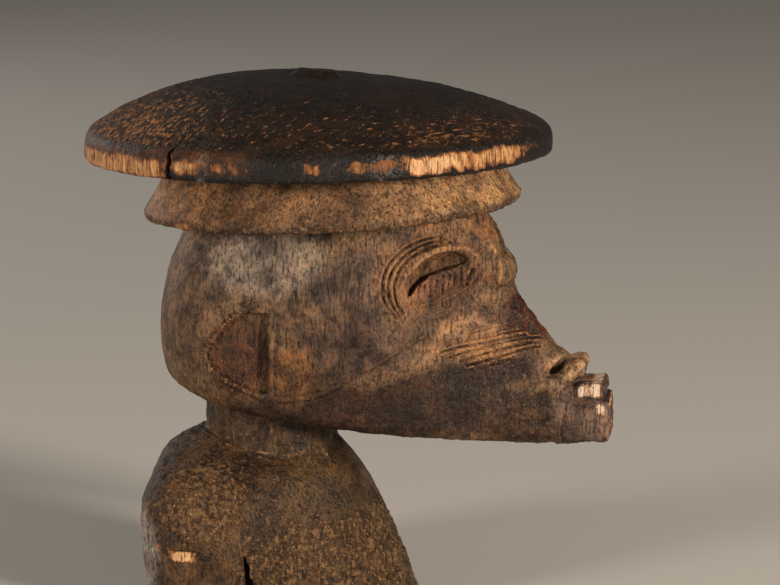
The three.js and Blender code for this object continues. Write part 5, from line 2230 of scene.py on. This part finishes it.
@dataclass
class Studio:
    """A plain pale floor, soft panels of light, and the camera at the photograph's angle."""

    azimuth: float = 7.0
    elevation: float = 10.0
    distance: float = 800.0
    target: tuple[float, float, float] = (30.0, 0.0, 78.0)
    pixels_per_mm: float = 4.0
    image_width: float = 780.0
    sensor: float = 36.0
    floor_radius: float = 7.0
    floor_colour: str = "#c9c5be"
    sky_colour: str = "#e9e4dc"
    sky_strength: float = 0.17

    def camera(self) -> bpy.types.Object:
        """Places the camera.

        Returns:
            The camera.
        """
        a, e = math.radians(self.azimuth), math.radians(self.elevation)
        back = Vector((math.sin(a) * math.cos(e), -math.cos(a) * math.cos(e), math.sin(e)))
        data = bpy.data.cameras.new("camera")
        data.sensor_width = self.sensor
        data.lens = self.pixels_per_mm * self.distance * self.sensor / self.image_width
        made = link_object("camera", data)
        made.location = (Vector(self.target) + back * self.distance) * MM
        made.rotation_mode = "QUATERNION"
        made.rotation_quaternion = (-back).to_track_quat("-Z", "Y")
        bpy.context.scene.camera = made
        return made

    def lamps(self) -> None:
        """Hangs the panels."""
        aim = Vector(self.target) * MM
        for lamp in LAMPS:
            data = bpy.data.lights.new(lamp.name, "AREA")
            data.shape, data.size, data.energy = "DISK", lamp.size, lamp.watts
            data.color = linear(lamp.colour)[:3]
            made = link_object(lamp.name, data)
            made.location = lamp.place
            made.rotation_mode = "QUATERNION"
            made.rotation_quaternion = (aim - Vector(lamp.place)).to_track_quat("-Z", "Y")

    def floor(self) -> None:
        """Lays the pale floor and sets the pale surroundings."""
        count = 96
        turns = np.linspace(0, 2 * math.pi, count, endpoint=False)
        ring = [(self.floor_radius * math.cos(t), self.floor_radius * math.sin(t), 0.0) for t in turns]
        mesh = bpy.data.meshes.new("floor")
        mesh.from_pydata(ring, [], [list(range(count))])
        paper = bpy.data.materials.new("matt_paper")
        paper.use_nodes = True
        shader = paper.node_tree.nodes["Principled BSDF"]
        shader.inputs["Base Color"].default_value = linear(self.floor_colour)
        shader.inputs["Roughness"].default_value = 0.95
        mesh.materials.append(paper)
        link_object("floor", mesh)
        world = bpy.data.worlds.new("studio")
        world.use_nodes = True
        sky = world.node_tree.nodes["Background"]
        sky.inputs["Color"].default_value = linear(self.sky_colour)
        sky.inputs["Strength"].default_value = self.sky_strength
        bpy.context.scene.world = world

    def build(self) -> None:
        """Sets up floor, light and camera."""
        self.floor()
        self.lamps()
        self.camera()
        bpy.context.scene.view_settings.view_transform = "Standard"


def main() -> None:
    """Builds the figure, its light and its camera, in order."""
    logging.basicConfig(level=logging.INFO, format="%(name)s: %(message)s")
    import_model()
    low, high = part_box(NODE)
    figure = Figure(radius=(high.y - low.y) / 2 / MM)
    piece = figure.build(PatinatedWood().build())
    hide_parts(NODE)
    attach(piece, BODY)
    LOG.info("%s: %d triangles", piece.name, len(piece.data.polygons))
    Studio().build()


if __name__ == "__main__":
    main()
